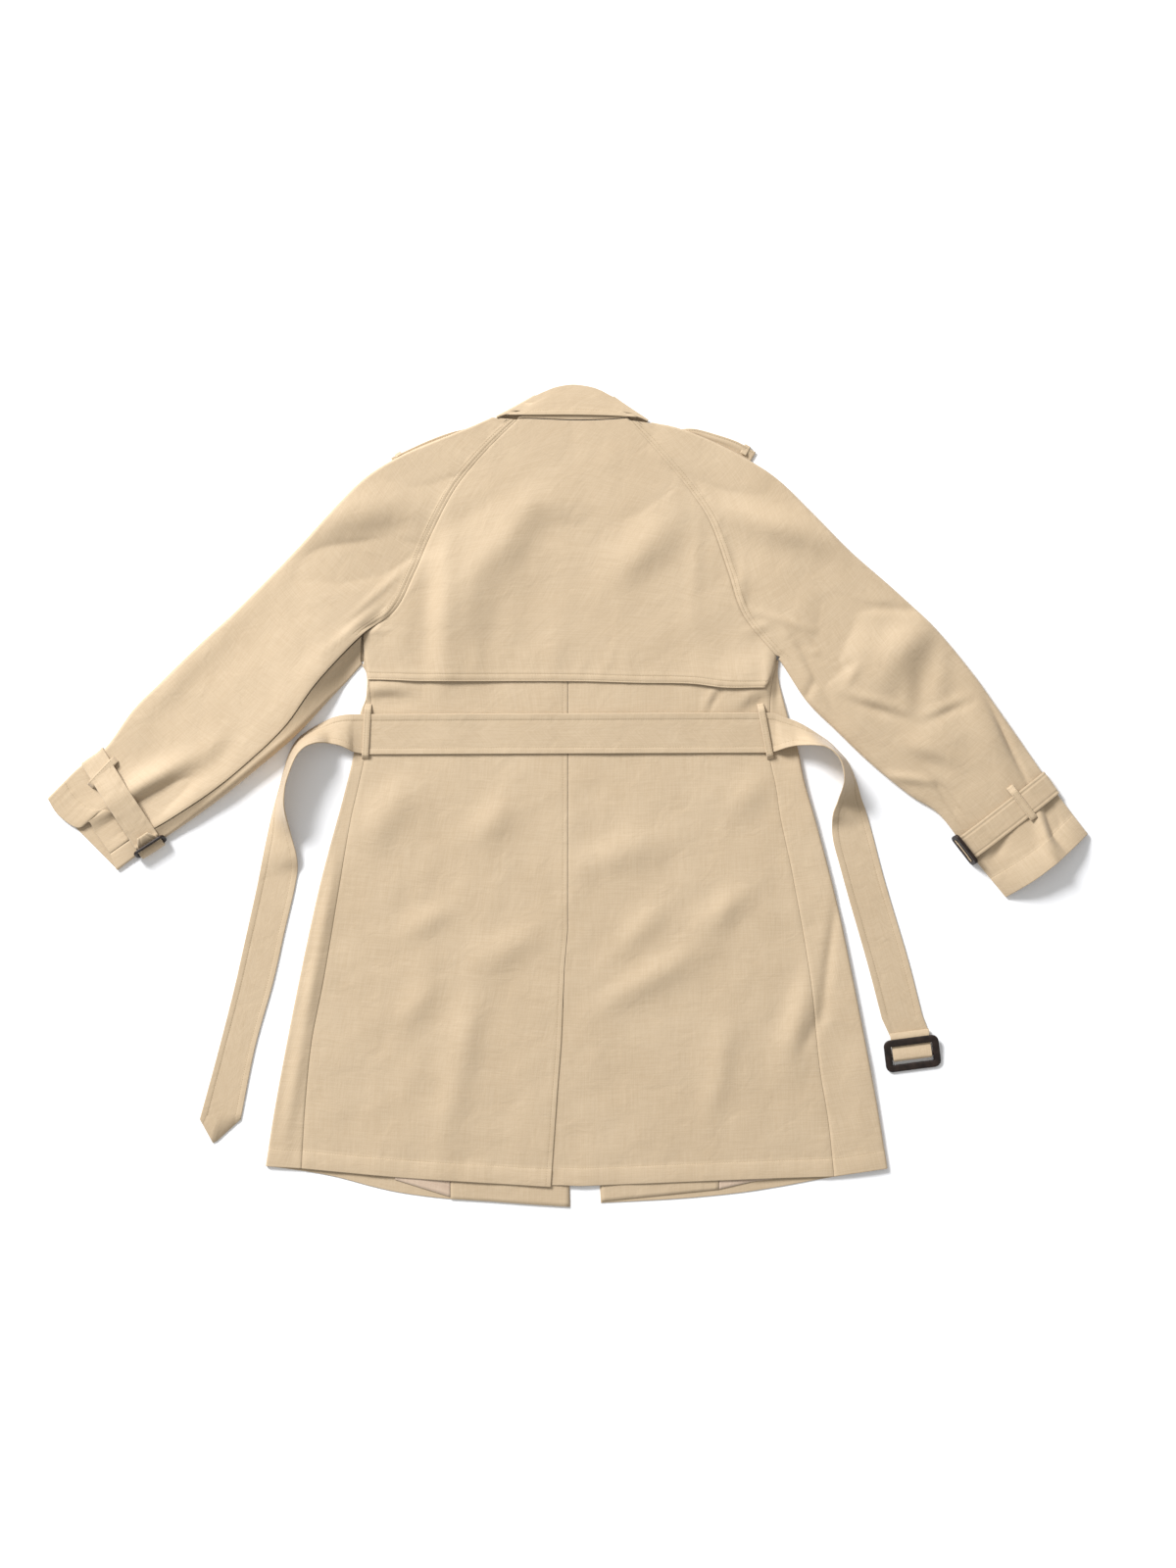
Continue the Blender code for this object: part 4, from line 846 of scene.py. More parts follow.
def sleeveRelief(upper, steps, facts):
    # The lapped raglan seam, the hem, and the rim and crest of the underarm seam.
    left, _, bottom, top = edgeDistances(upper)
    seamLines = facts["seamLines"]
    beyond = steps[:, None] - armpitRow
    lapped = 1 - smoothStep((beyond + 0.25) / 0.5)
    shape = seamRelief(left, bottom, seamLines, seamLines[-1] + 2.0, 0.0, facts["seed"]) * lapped
    shape = shape - 0.5 * np.exp(-(left / 1.3) ** 2) + facts["ride"] * (smoothStep(left / 8) - 1) * lapped
    shape = shape + hemRelief(top, left, facts, 0.3, facts["seed"] + 3, 1.7)
    shape = shape + facts["rim"] * rimAlong(steps[:, None]) * np.exp(-(left / 20) ** 2)
    return shape + facts["crest"] * np.exp(-((beyond - 0.12) / 0.35) ** 2 - (left / 17) ** 2)


def makeSleeveBack(side, table, hem, puff, seamShows, facts):
    steps, outer, seam, _, below = sleeveLines(table, facts)
    fractions = np.linspace(0, 1, facts["columns"])
    puffed = puffAt(puff, steps, fractions)
    seamInset = sideRoll(puff=puffed[:, :1])[0][0]
    start = insetLine(seam, outer, np.where(below & (not seamShows), seamInset, seamGap))
    end = insetLine(outer, seam, sideRoll(puff=puffed[:, -1:])[0][0])
    flat = start[:, None] + (end - start)[:, None] * fractions[None, :, None]
    cuffLine = spline(hem[::-1], len(fractions))
    bend = cuffLine - (seam[-1] + (outer[-1] - seam[-1]) * fractions[:, None])
    flat = flat + bend[None] * smoothStep((steps - hemBend[0]) / hemBend[1])[:, None, None]
    upper = withHeight(flat, sleeveUpper(flat, steps, puffed))
    before = edgeDistances(upper)[2]
    upper = resampled(upper, 1, facts["seamLines"], (), facts["columns"])
    upper = resampled(upper, 0, (), (facts["hemLine"],), len(steps))
    bottom = edgeDistances(upper)[2]
    steps = np.interp(bottom[:, 0] / bottom[-1, 0], before[:, 0] / before[-1, 0], steps)
    armpit = int(np.searchsorted(steps, armpitRow))
    upper[..., 2] += sleeveRelief(upper, steps, facts)
    sleeveTops[side] = upper
    edge, inward = edgeOf(upper, True)
    roll = sideRoll(puff=puffAt(puff, steps, 1.0))
    columns = [upper] + turnedColumns(edge, inward, roll[0][0], roll, upper[:, -1:, 2])
    skipped = None
    if not seamShows:
        edge, inward = edgeOf(upper, False)
        roll = sideRoll(puff=puffAt(puff, steps, 0.0))
        wrap = turnedColumns(edge, inward, roll[0][0], roll, upper[:, :1, 2])[::-1]
        columns = wrap + columns
        skipped = np.zeros((len(upper) - 1, sum(c.shape[1] for c in columns) - 1), bool)
        skipped[:armpit, :len(wrap)] = True
    grid = np.concatenate(columns, axis=1)
    back = clothPiece(f"sleeveBack{side}", grid, cloth, True, gabardine, skipped)
    keep(back, "gabardine", f"sleeve_back_{side.lower()}")
    for line in facts["seamLines"]:
        stitchRows.append(lineOn(upper, "left", line, thickness=cloth, trim=(1, len(upper) - armpit - 1)))
    stitchRows.append(lineOn(upper, "top", facts["hemLine"], thickness=cloth, trim=(3, 1)))


def underarmStrip(steps, outer, seam, under, puff, facts):
    # The under half's columns round its fold and up to the underarm seam that shows.
    seamPuff = puffAt(puff, steps, 0.0)
    stripPuff = np.maximum(seamPuff - rowsAt(puff, steps)[:, 3:], 0)
    roll = sideRoll(puff=stripPuff)
    sunken = 1 - 0.95 * np.exp(-((steps - armpitRow - 0.25) / 0.55) ** 2)[:, None]
    columns = []
    for inset, level in roll[::-1][1:]:
        flat = insetLine(under, outer, inset)[:, None]
        low = floorWall(flat[..., 0], flat[..., 1])
        high = low + (sleeveUpper(flat, steps, stripPuff) - low) * sunken
        columns.append(withHeight(flat, (1 - level) * low + level * high))
    seamSide = insetLine(seam, under, seamGap)
    inner = columns[-1][:, 0, :2]
    for share in np.linspace(0, 1, 9)[1:]:
        flat = (inner * (1 - share) + seamSide * share)[:, None]
        high = sleeveUpper(flat, steps, stripPuff * (1 - share) + seamPuff * share)
        low = floorWall(flat[..., 0], flat[..., 1])
        strip = withHeight(flat, low + (high - low) * (sunken * (1 - share ** 3) + share ** 3))
        strip[..., 2] -= 0.35 * smoothStep((share - 0.8) / 0.2)
        strip[..., 2] += 0.45 * facts["rim"] * rimAlong(steps)[:, None] * share ** 3
        columns.append(strip)
    return columns, roll[-1][0]


def makeSleeveFront(side, table, puff, seamShows, facts):
    steps, outer, seam, under, below = sleeveLines(table, facts)
    strip, turned = [], floorInset + 1.2
    if seamShows:
        strip, turned = underarmStrip(steps, outer, seam, under, puff, facts)
    far = insetLine(outer, under, floorInset + seamGap)
    near = insetLine(under, outer, np.where(below, turned, seamGap))
    flat = far[:, None] + (near - far)[:, None] * np.linspace(0, 1, 14)[None, :, None]
    columns = [levelled(flat, 0.0)] + strip
    skipped = None
    if seamShows:
        skipped = np.zeros((len(outer) - 1, sum(c.shape[1] for c in columns) - 1), bool)
        skipped[:facts["rowsAbove"] - 1, 13:] = True
    grid = np.concatenate(columns, axis=1)
    front = clothPiece(f"sleeveFront{side}", grid, cloth, False, gabardine, skipped)
    keep(front, "gabardine", f"sleeve_front_{side.lower()}")


def raglanRows(table, which, count):
    rows = rowsAt(table, np.linspace(0, armpitRow, count))
    return rows[:, 2 * which:2 * which + 2]


def makeFront(side, table, fold, seam, hem, neck, edge, facts):
    count = facts["rows"]
    raglan = raglanRows(table, 2, facts["raglanRows"])
    roll = sideRoll()
    seamRows = spline(seam, count + 1)[:0:-1]
    foldRows = spline(fold[::-1], count)
    edgeRows = spline(edge, count)
    floorFold = insetLine(foldRows, edgeRows, roll[0][0])
    top = np.vstack([spline(neck, 8), raglan[1:-1], floorFold[-1:]])
    bottom = spline(hem, len(top))
    bottom[0], bottom[-1] = edgeRows[0], floorFold[0]
    top[0] = edgeRows[-1]
    flat = coons(bottom, top, edgeRows, floorFold)
    columns = [levelled(flat, 0.0)]
    for inset, level in roll[::-1][1:]:
        columns.append(levelled(insetLine(foldRows, edgeRows, inset)[:, None], level))
    seamSide = insetLine(seamRows, foldRows, seamGap)
    inner = columns[-1][:, 0, :2]
    shares = np.linspace(0, 1, facts["stripColumns"])[1:]
    share = shares[None, :, None]
    columns.append(levelled(inner[:, None] * (1 - share) + seamSide[:, None] * share, 1.0))
    grid = np.concatenate(columns, axis=1)
    grid = resampled(grid, 0, (facts["hemLine"],), (), count)
    left, right, bottomward, _ = edgeDistances(grid)
    hemShape = hemRelief(bottomward, left, facts, 0.0, facts["seed"], 1.0)
    onTop = np.zeros(grid.shape[1])
    onTop[-len(shares) - 4:] = 1
    grid[..., 2] += hemShape * onTop[None, :]
    grid[..., 2] -= 0.5 * np.exp(-(right / 1.6) ** 2)
    front = clothPiece(f"front{side}", grid, cloth, False, gabardine)
    keep(front, "gabardine", f"front_{side.lower()}")
    strip = grid[:, -len(shares):]
    stitchRows.append(lineOn(strip, "bottom", facts["hemLine"], thickness=cloth, trim=(1, 1)))


def makeBackLeft(facts):
    # Laps over the vent's underlap along its middle edge.
    raglan = raglanRows(sleeveLeftRows, 1, facts["raglanRows"])
    side = np.vstack([raglan[:-1], spline(sideSeamLeft, facts["rows"])])
    middleY = np.interp(side[:, 1], (side[-1, 1], side[0, 1]), (backHemLeft[-1][1], neckSeam[2][1]))
    vent = np.array(ventEdge, float)
    middle = np.stack([np.interp(-middleY, -vent[:, 1], vent[:, 0]) - seamGap, middleY], axis=1)
    bottom = spline(backHemLeft, facts["columns"])
    top = spline(((-61, 469), (-42, 469), (1, 467)), facts["columns"])
    bottom[0], bottom[-1], top[0], top[-1] = side[-1], middle[-1], side[0], middle[0]
    flat = coons(bottom, top, side[::-1], middle[::-1])
    flat = resampled(withHeight(flat, 0.0), 1, facts["sideLines"], facts["middleLines"], facts["columns"])
    flat = resampled(flat, 0, (facts["hemLine"],), (), len(side))[..., :2]
    grid = withHeight(flat, backWall(flat[..., 0], flat[..., 1]))
    lap = smoothStep((flat[..., 0] + 95) / 70) * smoothStep((ventTop - 20 - flat[..., 1]) / 110)
    grid[..., 2] += ventLap * lap
    left, right, bottomward, _ = edgeDistances(grid)
    ventShape = 0.4 * seamRelief(right, bottomward, facts["middleLines"], 0, 0.4, 1.0)
    grid[..., 2] += ventShape
    grid[..., 2] += seamRelief(left, bottomward, facts["sideLines"], 0, 0.5, 2.0)
    grid[..., 2] += hemRelief(bottomward, left, facts, 0.2, 3.0)
    back = clothPiece("backLeft", grid, cloth, True, gabardine)
    keep(back, "gabardine", "back_left")
    stitchRows.append(lineOn(grid, "bottom", facts["hemLine"], thickness=cloth, trim=(2, 2)))
    for line in facts["middleLines"]:
        stitchRows.append(lineOn(grid, "right", line, thickness=cloth, trim=(1, 2)))


def makeBackRight(facts):
    # Carries on below the vent's top as the underlap under the left back.
    raglan = raglanRows(sleeveRightRows, 1, facts["raglanRows"])
    side = np.vstack([raglan[:-1], spline(sideSeamRight, facts["rows"])])
    middleY = np.interp(side[:, 1], (side[-1, 1], side[0, 1]), (backHemRight[0][1], neckSeam[2][1]))
    vent = np.array(ventEdge, float)
    middleX = np.interp(-np.maximum(middleY, underlapTop), -vent[:, 1], vent[:, 0])
    middle = np.stack([middleX + seamGap, middleY], axis=1)
    bottom = spline(backHemRight[1:], facts["columns"])
    top = spline(((1, 467), (51, 468), (76, 470)), facts["columns"])
    bottom[0], bottom[-1], top[0], top[-1] = middle[-1], side[-1], middle[0], side[0]
    flat = coons(bottom, top, middle[::-1], side[::-1])
    flat = resampled(withHeight(flat, 0.0), 1, (), facts["sideLines"], facts["columns"])
    flat = resampled(flat, 0, (facts["hemLine"],), (), len(side))[..., :2]
    lapX = np.linspace(*underlapReach, underlapColumns)
    lap = np.stack(np.broadcast_arrays(lapX[None, :], flat[:, :1, 1]), axis=-1)
    shown = flat[:, :1, 1] < underlapTop
    wide = np.concatenate([lap, flat], axis=1)
    skipped = np.zeros((wide.shape[0] - 1, wide.shape[1] - 1), bool)
    skipped[~shown[1:, 0], :underlapColumns] = True
    grid = withHeight(wide, backWall(wide[..., 0], wide[..., 1]))
    main = grid[:, underlapColumns:]
    left, right, bottomward, _ = edgeDistances(main)
    dip = -0.2 * np.exp(-(left / 1.3) ** 2) * (flat[..., 1] > ventTop)
    main[..., 2] += dip
    main[..., 2] += seamRelief(right, bottomward, facts["sideLines"], 0, 0.5, 4.0)
    main[..., 2] += hemRelief(bottomward, left, facts, 0.2, 5.0)
    back = clothPiece("backRight", grid, cloth, True, gabardine, skipped)
    keep(back, "gabardine", "back_right")
    stitchRows.append(lineOn(main, "bottom", facts["hemLine"], thickness=cloth, trim=(0, 2)))


def makeStormShield(facts):
    left = np.vstack([raglanRows(sleeveLeftRows, 1, facts["raglanRows"])[:-1],
                      spline(((-253, 196), (-251, 172), shieldHem[0]), 14)])
    right = np.vstack([raglanRows(sleeveRightRows, 1, facts["raglanRows"])[:-1],
                       spline(((260, 172), (257, 155), shieldHem[-1]), 14)])
    bottom = spline(shieldHem, facts["columns"])
    top = spline(neckSeam, facts["columns"])
    bottom[0], bottom[-1], top[0], top[-1] = left[-1], right[-1], left[0], right[0]
    flat = coons(bottom, top, left[::-1], right[::-1])
    flat = resampled(withHeight(flat, 0.0), 0, facts["hemLines"], (), len(left))[..., :2]
    x, y = flat[..., 0], flat[..., 1]
    grid = withHeight(flat, shieldWall(x, y) + 0.2 * smoothStep((185 - y) / 45))
    across, back, bottomward, _ = edgeDistances(grid)
    grid[..., 2] += sum(hills(x, y, facts["liftedHem"], 2)) * smoothStep((60 - bottomward) / 50)
    grid[..., 2] += seamRelief(bottomward, across, facts["hemLines"], 11.5, 0.2, 6.0)
    sideEdge = np.minimum(across, back)
    grid[..., 2] -= 0.5 * np.exp(-(sideEdge / 1.8) ** 2)
    shield = clothPiece("stormShield", grid, cloth, True, gabardine)
    keep(shield, "gabardine", "storm_shield")
    for line in facts["hemLines"]:
        stitchRows.append(lineOn(grid, "bottom", line, thickness=cloth, trim=(1, 1)))


def makeHemStrip(name, nodeName, leftX, rightX, low, highY, finish, slotName):
    x = np.linspace(leftX, rightX, 30)
    lowY = np.interp(x, *zip(*sorted(low)))
    share = np.linspace(0, 1, 14)[:, None]
    flat = np.stack(np.broadcast_arrays(x[None], lowY[None] * (1 - share) + highY * share), axis=-1)
    grid = withHeight(flat, floorWall(flat[..., 0], flat[..., 1]) + 0.3)
    piece = clothPiece(name, grid, 1.0, True, finish)
    keep(piece, slotName, nodeName)


def collarRow(row, level, inward=(0, 0), insets=(0, 0, 0, 0), count=22):
    share = np.linspace(0, 1, count)[:, None]
    flat = np.array(row[2:4], float) * (1 - share) + np.array(row[:2], float) * share
    inset = np.interp(share[:, 0], np.linspace(0, 1, 4), insets)
    flat = flat + inset[:, None] * np.array(inward, float)
    upper = fallInnerHeight * (1 - share) + crestInnerHeight * share
    upper = upper + collarLook["crown"] * np.sin(math.pi * share ** 0.7)
    return np.concatenate([flat, cloth * (1 - level) + upper * level], axis=1)


def makeCollar():
    leftIn, rightIn = (0.48, -0.877), (-0.54, -0.84)
    shape = np.array((1.0, 1.0, 0.9, 0.45))
    leafRows, foldRows = 16, 9
    rolled = sideRoll(foldRows)
    rows = [collarRow(row, 0.0) for row in rowsAt(leftLeaf, np.linspace(0, 3, leafRows))]
    rows += [collarRow(leftCollarFold, level, leftIn, inset * shape) for inset, level in rolled[::-1]]
    steps = np.linspace(0, 4, 61)
    bows = np.interp(steps, (0, 0.5, 1.0, 3.0, 3.5, 4), (6, 3, 0, 0, 3, 6))
    backRows = rowsAt(backLeaf, steps)
    for row, bow, step in zip(backRows, bows, steps):
        rows.append(collarRow(row, 1.0, leftIn if step < 2 else rightIn, np.array((0, 1, 0.9, 0)) * bow))
    rows += [collarRow(rightCollarFold, level, rightIn, inset * shape) for inset, level in rolled]
    rows += [collarRow(row, 0.0) for row in rowsAt(rightLeaf, np.linspace(0, 3, leafRows))]
    grid = resampled(np.array(rows), 1, (collarLook["edgeLine"],), (), 22)
    left, _, bottomward, _ = edgeDistances(grid)
    # Relief and stitches only on the part across the back, not on the folds and leaves
    place = np.arange(len(grid))
    backFrom = leafRows + foldRows
    acrossBack = smoothStep((np.minimum(place, place[::-1]) - backFrom) / 9)
    shaped = seamRelief(left, bottomward, (collarLook["edgeLine"],), collarLook["edgeLine"] + 1.5, 0.0, 7.0)
    grid[..., 2] += shaped * acrossBack[:, None]
    fall = clothPiece("collarFall", grid, cloth, False, gabardine, uvTurn=90)
    keep(fall, "gabardine", "collar_fall")
    trim = (backFrom + 4, backFrom + 4)
    stitchRows.append(lineOn(grid, "left", collarLook["edgeLine"], thickness=cloth, trim=trim))

    seam = spline(neckSeam, 60) + np.array((0, 1.2))
    crest = spline(((-30, 495), (-12, 503), (8, 506), (33, 502), (45, 495)), 60)
    rise = np.linspace(0, 1, 12)[:, None, None]
    flat = seam[None] * (1 - rise) + crest[None] * rise
    height = 5.0 * (1 - rise[..., 0]) + 1.9 * rise[..., 0] + np.zeros((1, 60))
    stand = clothPiece("collarStand", withHeight(flat, height), cloth, True, gabardine)
    keep(stand, "gabardine", "collar_stand")


def beltHeight(x):
    low, high = beltLine - beltWidth / 2, beltLine + beltWidth / 2
    y = np.linspace(low, high, 7)[:, None]
    return backWall(x[None], y).max(axis=0) + cloth + restGap + beltCloth / 2


def beltEnd(rows, count, firstHeight, bodyShare):
    lines = rowsAt(rows, np.linspace(0, len(rows) - 1, count))
    outer, inner = lines[:, 0:2], lines[:, 2:4]
    apart = np.linalg.norm(outer - inner, axis=1)
    rise = np.sqrt(np.maximum(beltWidth ** 2 - apart ** 2, 0))
    rise = rise * smoothStep((0.96 - apart / beltWidth) / 0.08) * (1 - 0.65 * smoothStep((apart - 12) / 20))
    padded = np.pad(rise, 6, mode="edge")
    rise = np.convolve(padded, np.hanning(15)[1:-1] / np.hanning(15)[1:-1].sum(), mode="valid")
    tilt = np.clip(apart / beltWidth, 0, 1)
    drop = smoothStep((np.arange(count) / count - bodyShare) / 0.2)
    low = firstHeight * (1 - drop) + beltCloth / 2 * tilt * drop
    return outer, inner, low, low + rise


def stripRows(outer, outerHeight, inner, innerHeight, across=11):
    first = np.column_stack([outer, outerHeight])
    last = np.column_stack([inner, innerHeight])
    share = np.linspace(0, 1, across)[None, :, None]
    return first[:, None] * (1 - share) + last[:, None] * share


def bucklePlace(across, along, height):
    turn = math.radians(buckleTurn)
    x = buckleX + across * math.cos(turn) + along * math.sin(turn)
    y = buckleY + across * math.sin(turn) - along * math.cos(turn)
    return (x, y, height)


def buckleBarHeight():
    return beltCloth + 0.35 + buckleBarRadius


def buckleTurnback():
    low = beltCloth / 2
    half = beltWidth / 2 - 0.8
    bar = buckleBarHeight()
    radius = buckleBarRadius + 0.35 + beltCloth / 2
    path = [(-24.0, low), (-10.0, low), (0.0, low + 0.1)]
    for turn in np.radians(np.linspace(-90, 90, 13)):
        path.append((barAlong + radius * math.cos(turn), bar + radius * math.sin(turn)))
    path += [(-4.5, bar + 1.7), (-11.0, 3.75), (-19.0, 3.6), (-28.0, 3.6)]
    rows = [[bucklePlace(across, along, height) for across in np.linspace(half, -half, 11)]
            for along, height in path]
    return np.array(rows)


def makeBelt(facts):
    span = facts["bodySpan"]
    bodyX = np.linspace(*span, facts["bodyRows"])
    coarse = np.linspace(*span, 18)
    bodyHeight = np.interp(bodyX, coarse, beltHeight(coarse)) + facts["bodyLift"]
    left = beltEnd(beltLeftRows, facts["endRows"], bodyHeight[0], 0.02)
    right = beltEnd(beltRightRows, facts["endRows"], bodyHeight[-1], 0.15)
    middleY = beltLine + np.interp(bodyX, span, (-1, 1))
    upperEdge = facts["bodyTilt"] + facts["bodyWave"] * np.maximum(waves(bodyX / 34, 4.0), -0.6)
    bodyHeight = bodyHeight + facts["bodyWave"] * np.maximum(waves(bodyX / 41, 7.0), 0)
    top = np.stack([bodyX, middleY + beltWidth / 2], axis=1)
    bottom = np.stack([bodyX, middleY - beltWidth / 2], axis=1)
    parts = [stripRows(left[0], left[2], left[1], left[3])[::-1],
             stripRows(top, bodyHeight + upperEdge, bottom, bodyHeight),
             stripRows(right[0], right[2], right[1], right[3]), buckleTurnback()]
    grid = np.concatenate(parts)
    middle = grid.shape[1] // 2
    point = np.array((*beltTip, beltCloth / 2))
    share = 1 - np.abs(np.arange(grid.shape[1]) - middle) / middle
    grid[0] += (point - grid[0, middle]) * share[:, None]
    lines = (facts["edgeLine"],)
    grid = resampled(grid, 1, lines, lines, 9)
    leftward, rightward, along, _ = edgeDistances(grid)
    shape = seamRelief(leftward, along, lines, facts["edgeLine"] + 1.2, 0.0, 8.0)
    shape = shape + seamRelief(rightward, along, lines, facts["edgeLine"] + 1.2, 0.0, 9.0)
    normal, _ = gridNormals(grid, True)
    keepFlat = np.ones(len(grid))
    keepFlat[-facts["turnbackRows"]:] = 0
    grid = grid + normal * (shape * keepFlat[:, None])[..., None]
    belt = clothPiece("beltStrip", grid, facts["wall"], True, gabardine, offset=0.0, uvTurn=90)
    keep(belt, "gabardine", "belt")
    upward, _ = gridNormals(grid, True)
    last = facts["turnbackRows"] + 1
    for side, column in (("left", 3), ("right", -4)):
        line = lineOn(grid, side, facts["edgeLine"], trim=(1, last))
        line += upward[1:-last, column] * facts["wall"] / 2
        stitchRows.append(line)
    return grid


def ringMesh(name, size, rail, corner, steps=10, around=20, flatness=0.4):
    halfLength, halfWidth = (size[0] - rail[0]) / 2, (size[1] - rail[0]) / 2
    turnRadius = corner - rail[0] / 2 + 1.5
    path = []
    for quarter, (signX, signY) in enumerate(((1, 1), (-1, 1), (-1, -1), (1, -1))):
        middle = (signX * (halfLength - turnRadius), signY * (halfWidth - turnRadius))
        for step in range(steps):
            turn = math.pi / 2 * (quarter + step / (steps - 1))
            outward = (math.cos(turn), math.sin(turn))
            path.append((middle[0] + turnRadius * outward[0], middle[1] + turnRadius * outward[1], outward))
    angles = np.radians(np.arange(around) * 360 / around + 9)
    section = [(math.cos(a) * abs(math.cos(a)) ** -flatness, math.sin(a) * abs(math.sin(a)) ** -flatness)
               for a in angles]
    points = []
    for x, y, outward in path:
        for side, height in section:
            reach = side * rail[0] / 2 / 1.02
            points.append((x + outward[0] * reach, y + outward[1] * reach, height * rail[1] / 2 / 1.02))
    count = len(path)
    quads = []
    for i in range(count):
        for j in range(around):
            following, beside = (i + 1) % count, (j + 1) % around
            quads.append((i * around + j, following * around + j, following * around + beside,
                          i * around + beside))
    mesh = bpy.data.meshes.new(name)
    mesh.from_pydata((np.array(points) / 1000).tolist(), [], quads)
    return mesh


def placedMesh(name, mesh, matrix, finish):
    mesh.transform(matrix)
    tidy = bmesh.new()
    tidy.from_mesh(mesh)
    bmesh.ops.recalc_face_normals(tidy, faces=tidy.faces)
    tidy.to_mesh(mesh)
    tidy.free()
    mesh.shade_smooth()
    mesh.materials.clear()
    mesh.materials.append(finish)
    piece = addObject(name, mesh)
    return piece


def barMesh(name, length, radius, sides=20):
    made = bmesh.new()
    turn = Matrix.Rotation(math.pi / 2, 4, "Y")
    bmesh.ops.create_cone(made, cap_ends=True, segments=sides, radius1=radius / 1000, radius2=radius / 1000,
                          depth=length / 1000, matrix=turn)
    mesh = bpy.data.meshes.new(name)
    made.to_mesh(mesh)
    made.free()
    return mesh


def makeBuckle():
    slope = math.radians(buckleSlope)
    matrix = (Matrix.Translation((buckleX / 1000, buckleY / 1000, buckleHeight / 1000))
              @ Matrix.Rotation(math.radians(buckleTurn), 4, "Z") @ Matrix.Rotation(slope, 4, "X"))
    frame = placedMesh("beltBuckle", ringMesh("beltBuckle", buckleSize, buckleRail, buckleCorner), matrix,
                       leather)
    keep(frame, "buckle", "belt_buckle")
    drop = buckleHeight - barAlong * math.tan(slope) - buckleBarHeight()
    local = Matrix.Translation((0, -barAlong / math.cos(slope) / 1000, -drop / 1000))
    barLength = buckleSize[0] - buckleRail[0]
    bar = placedMesh("beltBuckleBar", barMesh("beltBuckleBar", barLength, buckleBarRadius), matrix @ local,
                     leather)
    keep(bar, "buckle")


def onBack(x, y):
    return float(backWall(x, y)) + cloth


def makeBand(name, nodeName, start, end, width, high, rises, clothTop=onBack, wall=loopCloth):
    start, end = np.array(start, float), np.array(end, float)
    length = np.linalg.norm(end - start)
    along = (end - start) / length
    side = np.array((-along[1], along[0]))
    shares = np.linspace(0, length, 46)
    rows = []
    for distance in shares:
        middle = start + along * distance
        up = smoothStep((distance - 0.1 * rises[0]) / (0.9 * rises[0]))
        down = smoothStep((length - distance - 0.1 * rises[1]) / (0.9 * rises[1]))
        ends = smoothStep(min(distance, length - distance) / 1.5)
        height = (clothTop(*middle) - 1.1 + 1.5 * ends) * (1 - up * down) + high * up * down
        across = np.linspace(1, -1, 9)
        round_ = 0.35 * (1 - np.abs(across) ** 3)
        rows.append([(*(middle + side * width / 2 * s), height + r) for s, r in zip(across, round_)])
    piece = clothPiece(name, rows, wall, True, gabardine)
    keep(piece, "gabardine", nodeName)
    for place in (1.6, width - 1.6):
        stitchRows.append(lineOn(np.array(rows), "left", place, thickness=wall, trim=(1, 1)))


def makeBeltLoops():
    for side, start, end in (("Left", (-247, 114), (-251, 47)), ("Right", (240.5, 114.5), (253, 47))):
        around = np.linspace(start[0] - 30, end[0] + 30, 9)
        over = float(beltHeight(around).max()) + beltCloth / 2 + 0.3
        makeBand(f"beltLoop{side}", f"belt_loop_{side.lower()}", start, end, loopWidth + 1, over,
                 (8.5, 4.5))


class Cuff:
    def __init__(self, inner, outer, table, surface):
        self.inner = np.array(inner, float)
        self.length = float(np.linalg.norm(np.array(outer) - self.inner))
        self.along = (np.array(outer) - self.inner) / self.length
        self.side = np.array((self.along[1], -self.along[0]))
        self.edge = rowsAt(table, sleeveSteps(8, 12))[:, 0:2] - self.inner
        self.surface = surface.reshape(-1, 3)

    def place(self, along, side=0.0):
        return self.inner + self.along * along + self.side * side

    def beyond(self, side):
        along, across = self.edge @ self.along, self.edge @ self.side
        order = np.argsort(across)
        return float(np.interp(side, across[order], along[order])) - self.length

    def top(self, along):
        offset = self.surface[:, :2] - self.inner
        reach = np.maximum(np.abs(offset @ self.along - along) / 10, np.abs(offset @ self.side) / 17)
        near = self.surface[reach < max(1, reach.min() + 0.3), 2]
        return float(near.max()) + cloth + 0.4 + strapCloth / 2

    def clothTop(self, x, y):
        near = np.linalg.norm(self.surface[:, :2] - (x, y), axis=1) < 6
        return float(self.surface[near, 2].max()) + cloth


def spanned(path):
    # The path lifted to the chords between its high points, as a pulled strap lies.
    places, heights = np.array(path).T
    raised = heights.copy()
    for i in range(len(path)):
        for j in range(i + 2, len(path)):
            share = (places[i:j + 1] - places[i]) / (places[j] - places[i])
            raised[i:j + 1] = np.maximum(raised[i:j + 1], heights[i] * (1 - share) + heights[j] * share)
    return list(zip(places, raised))


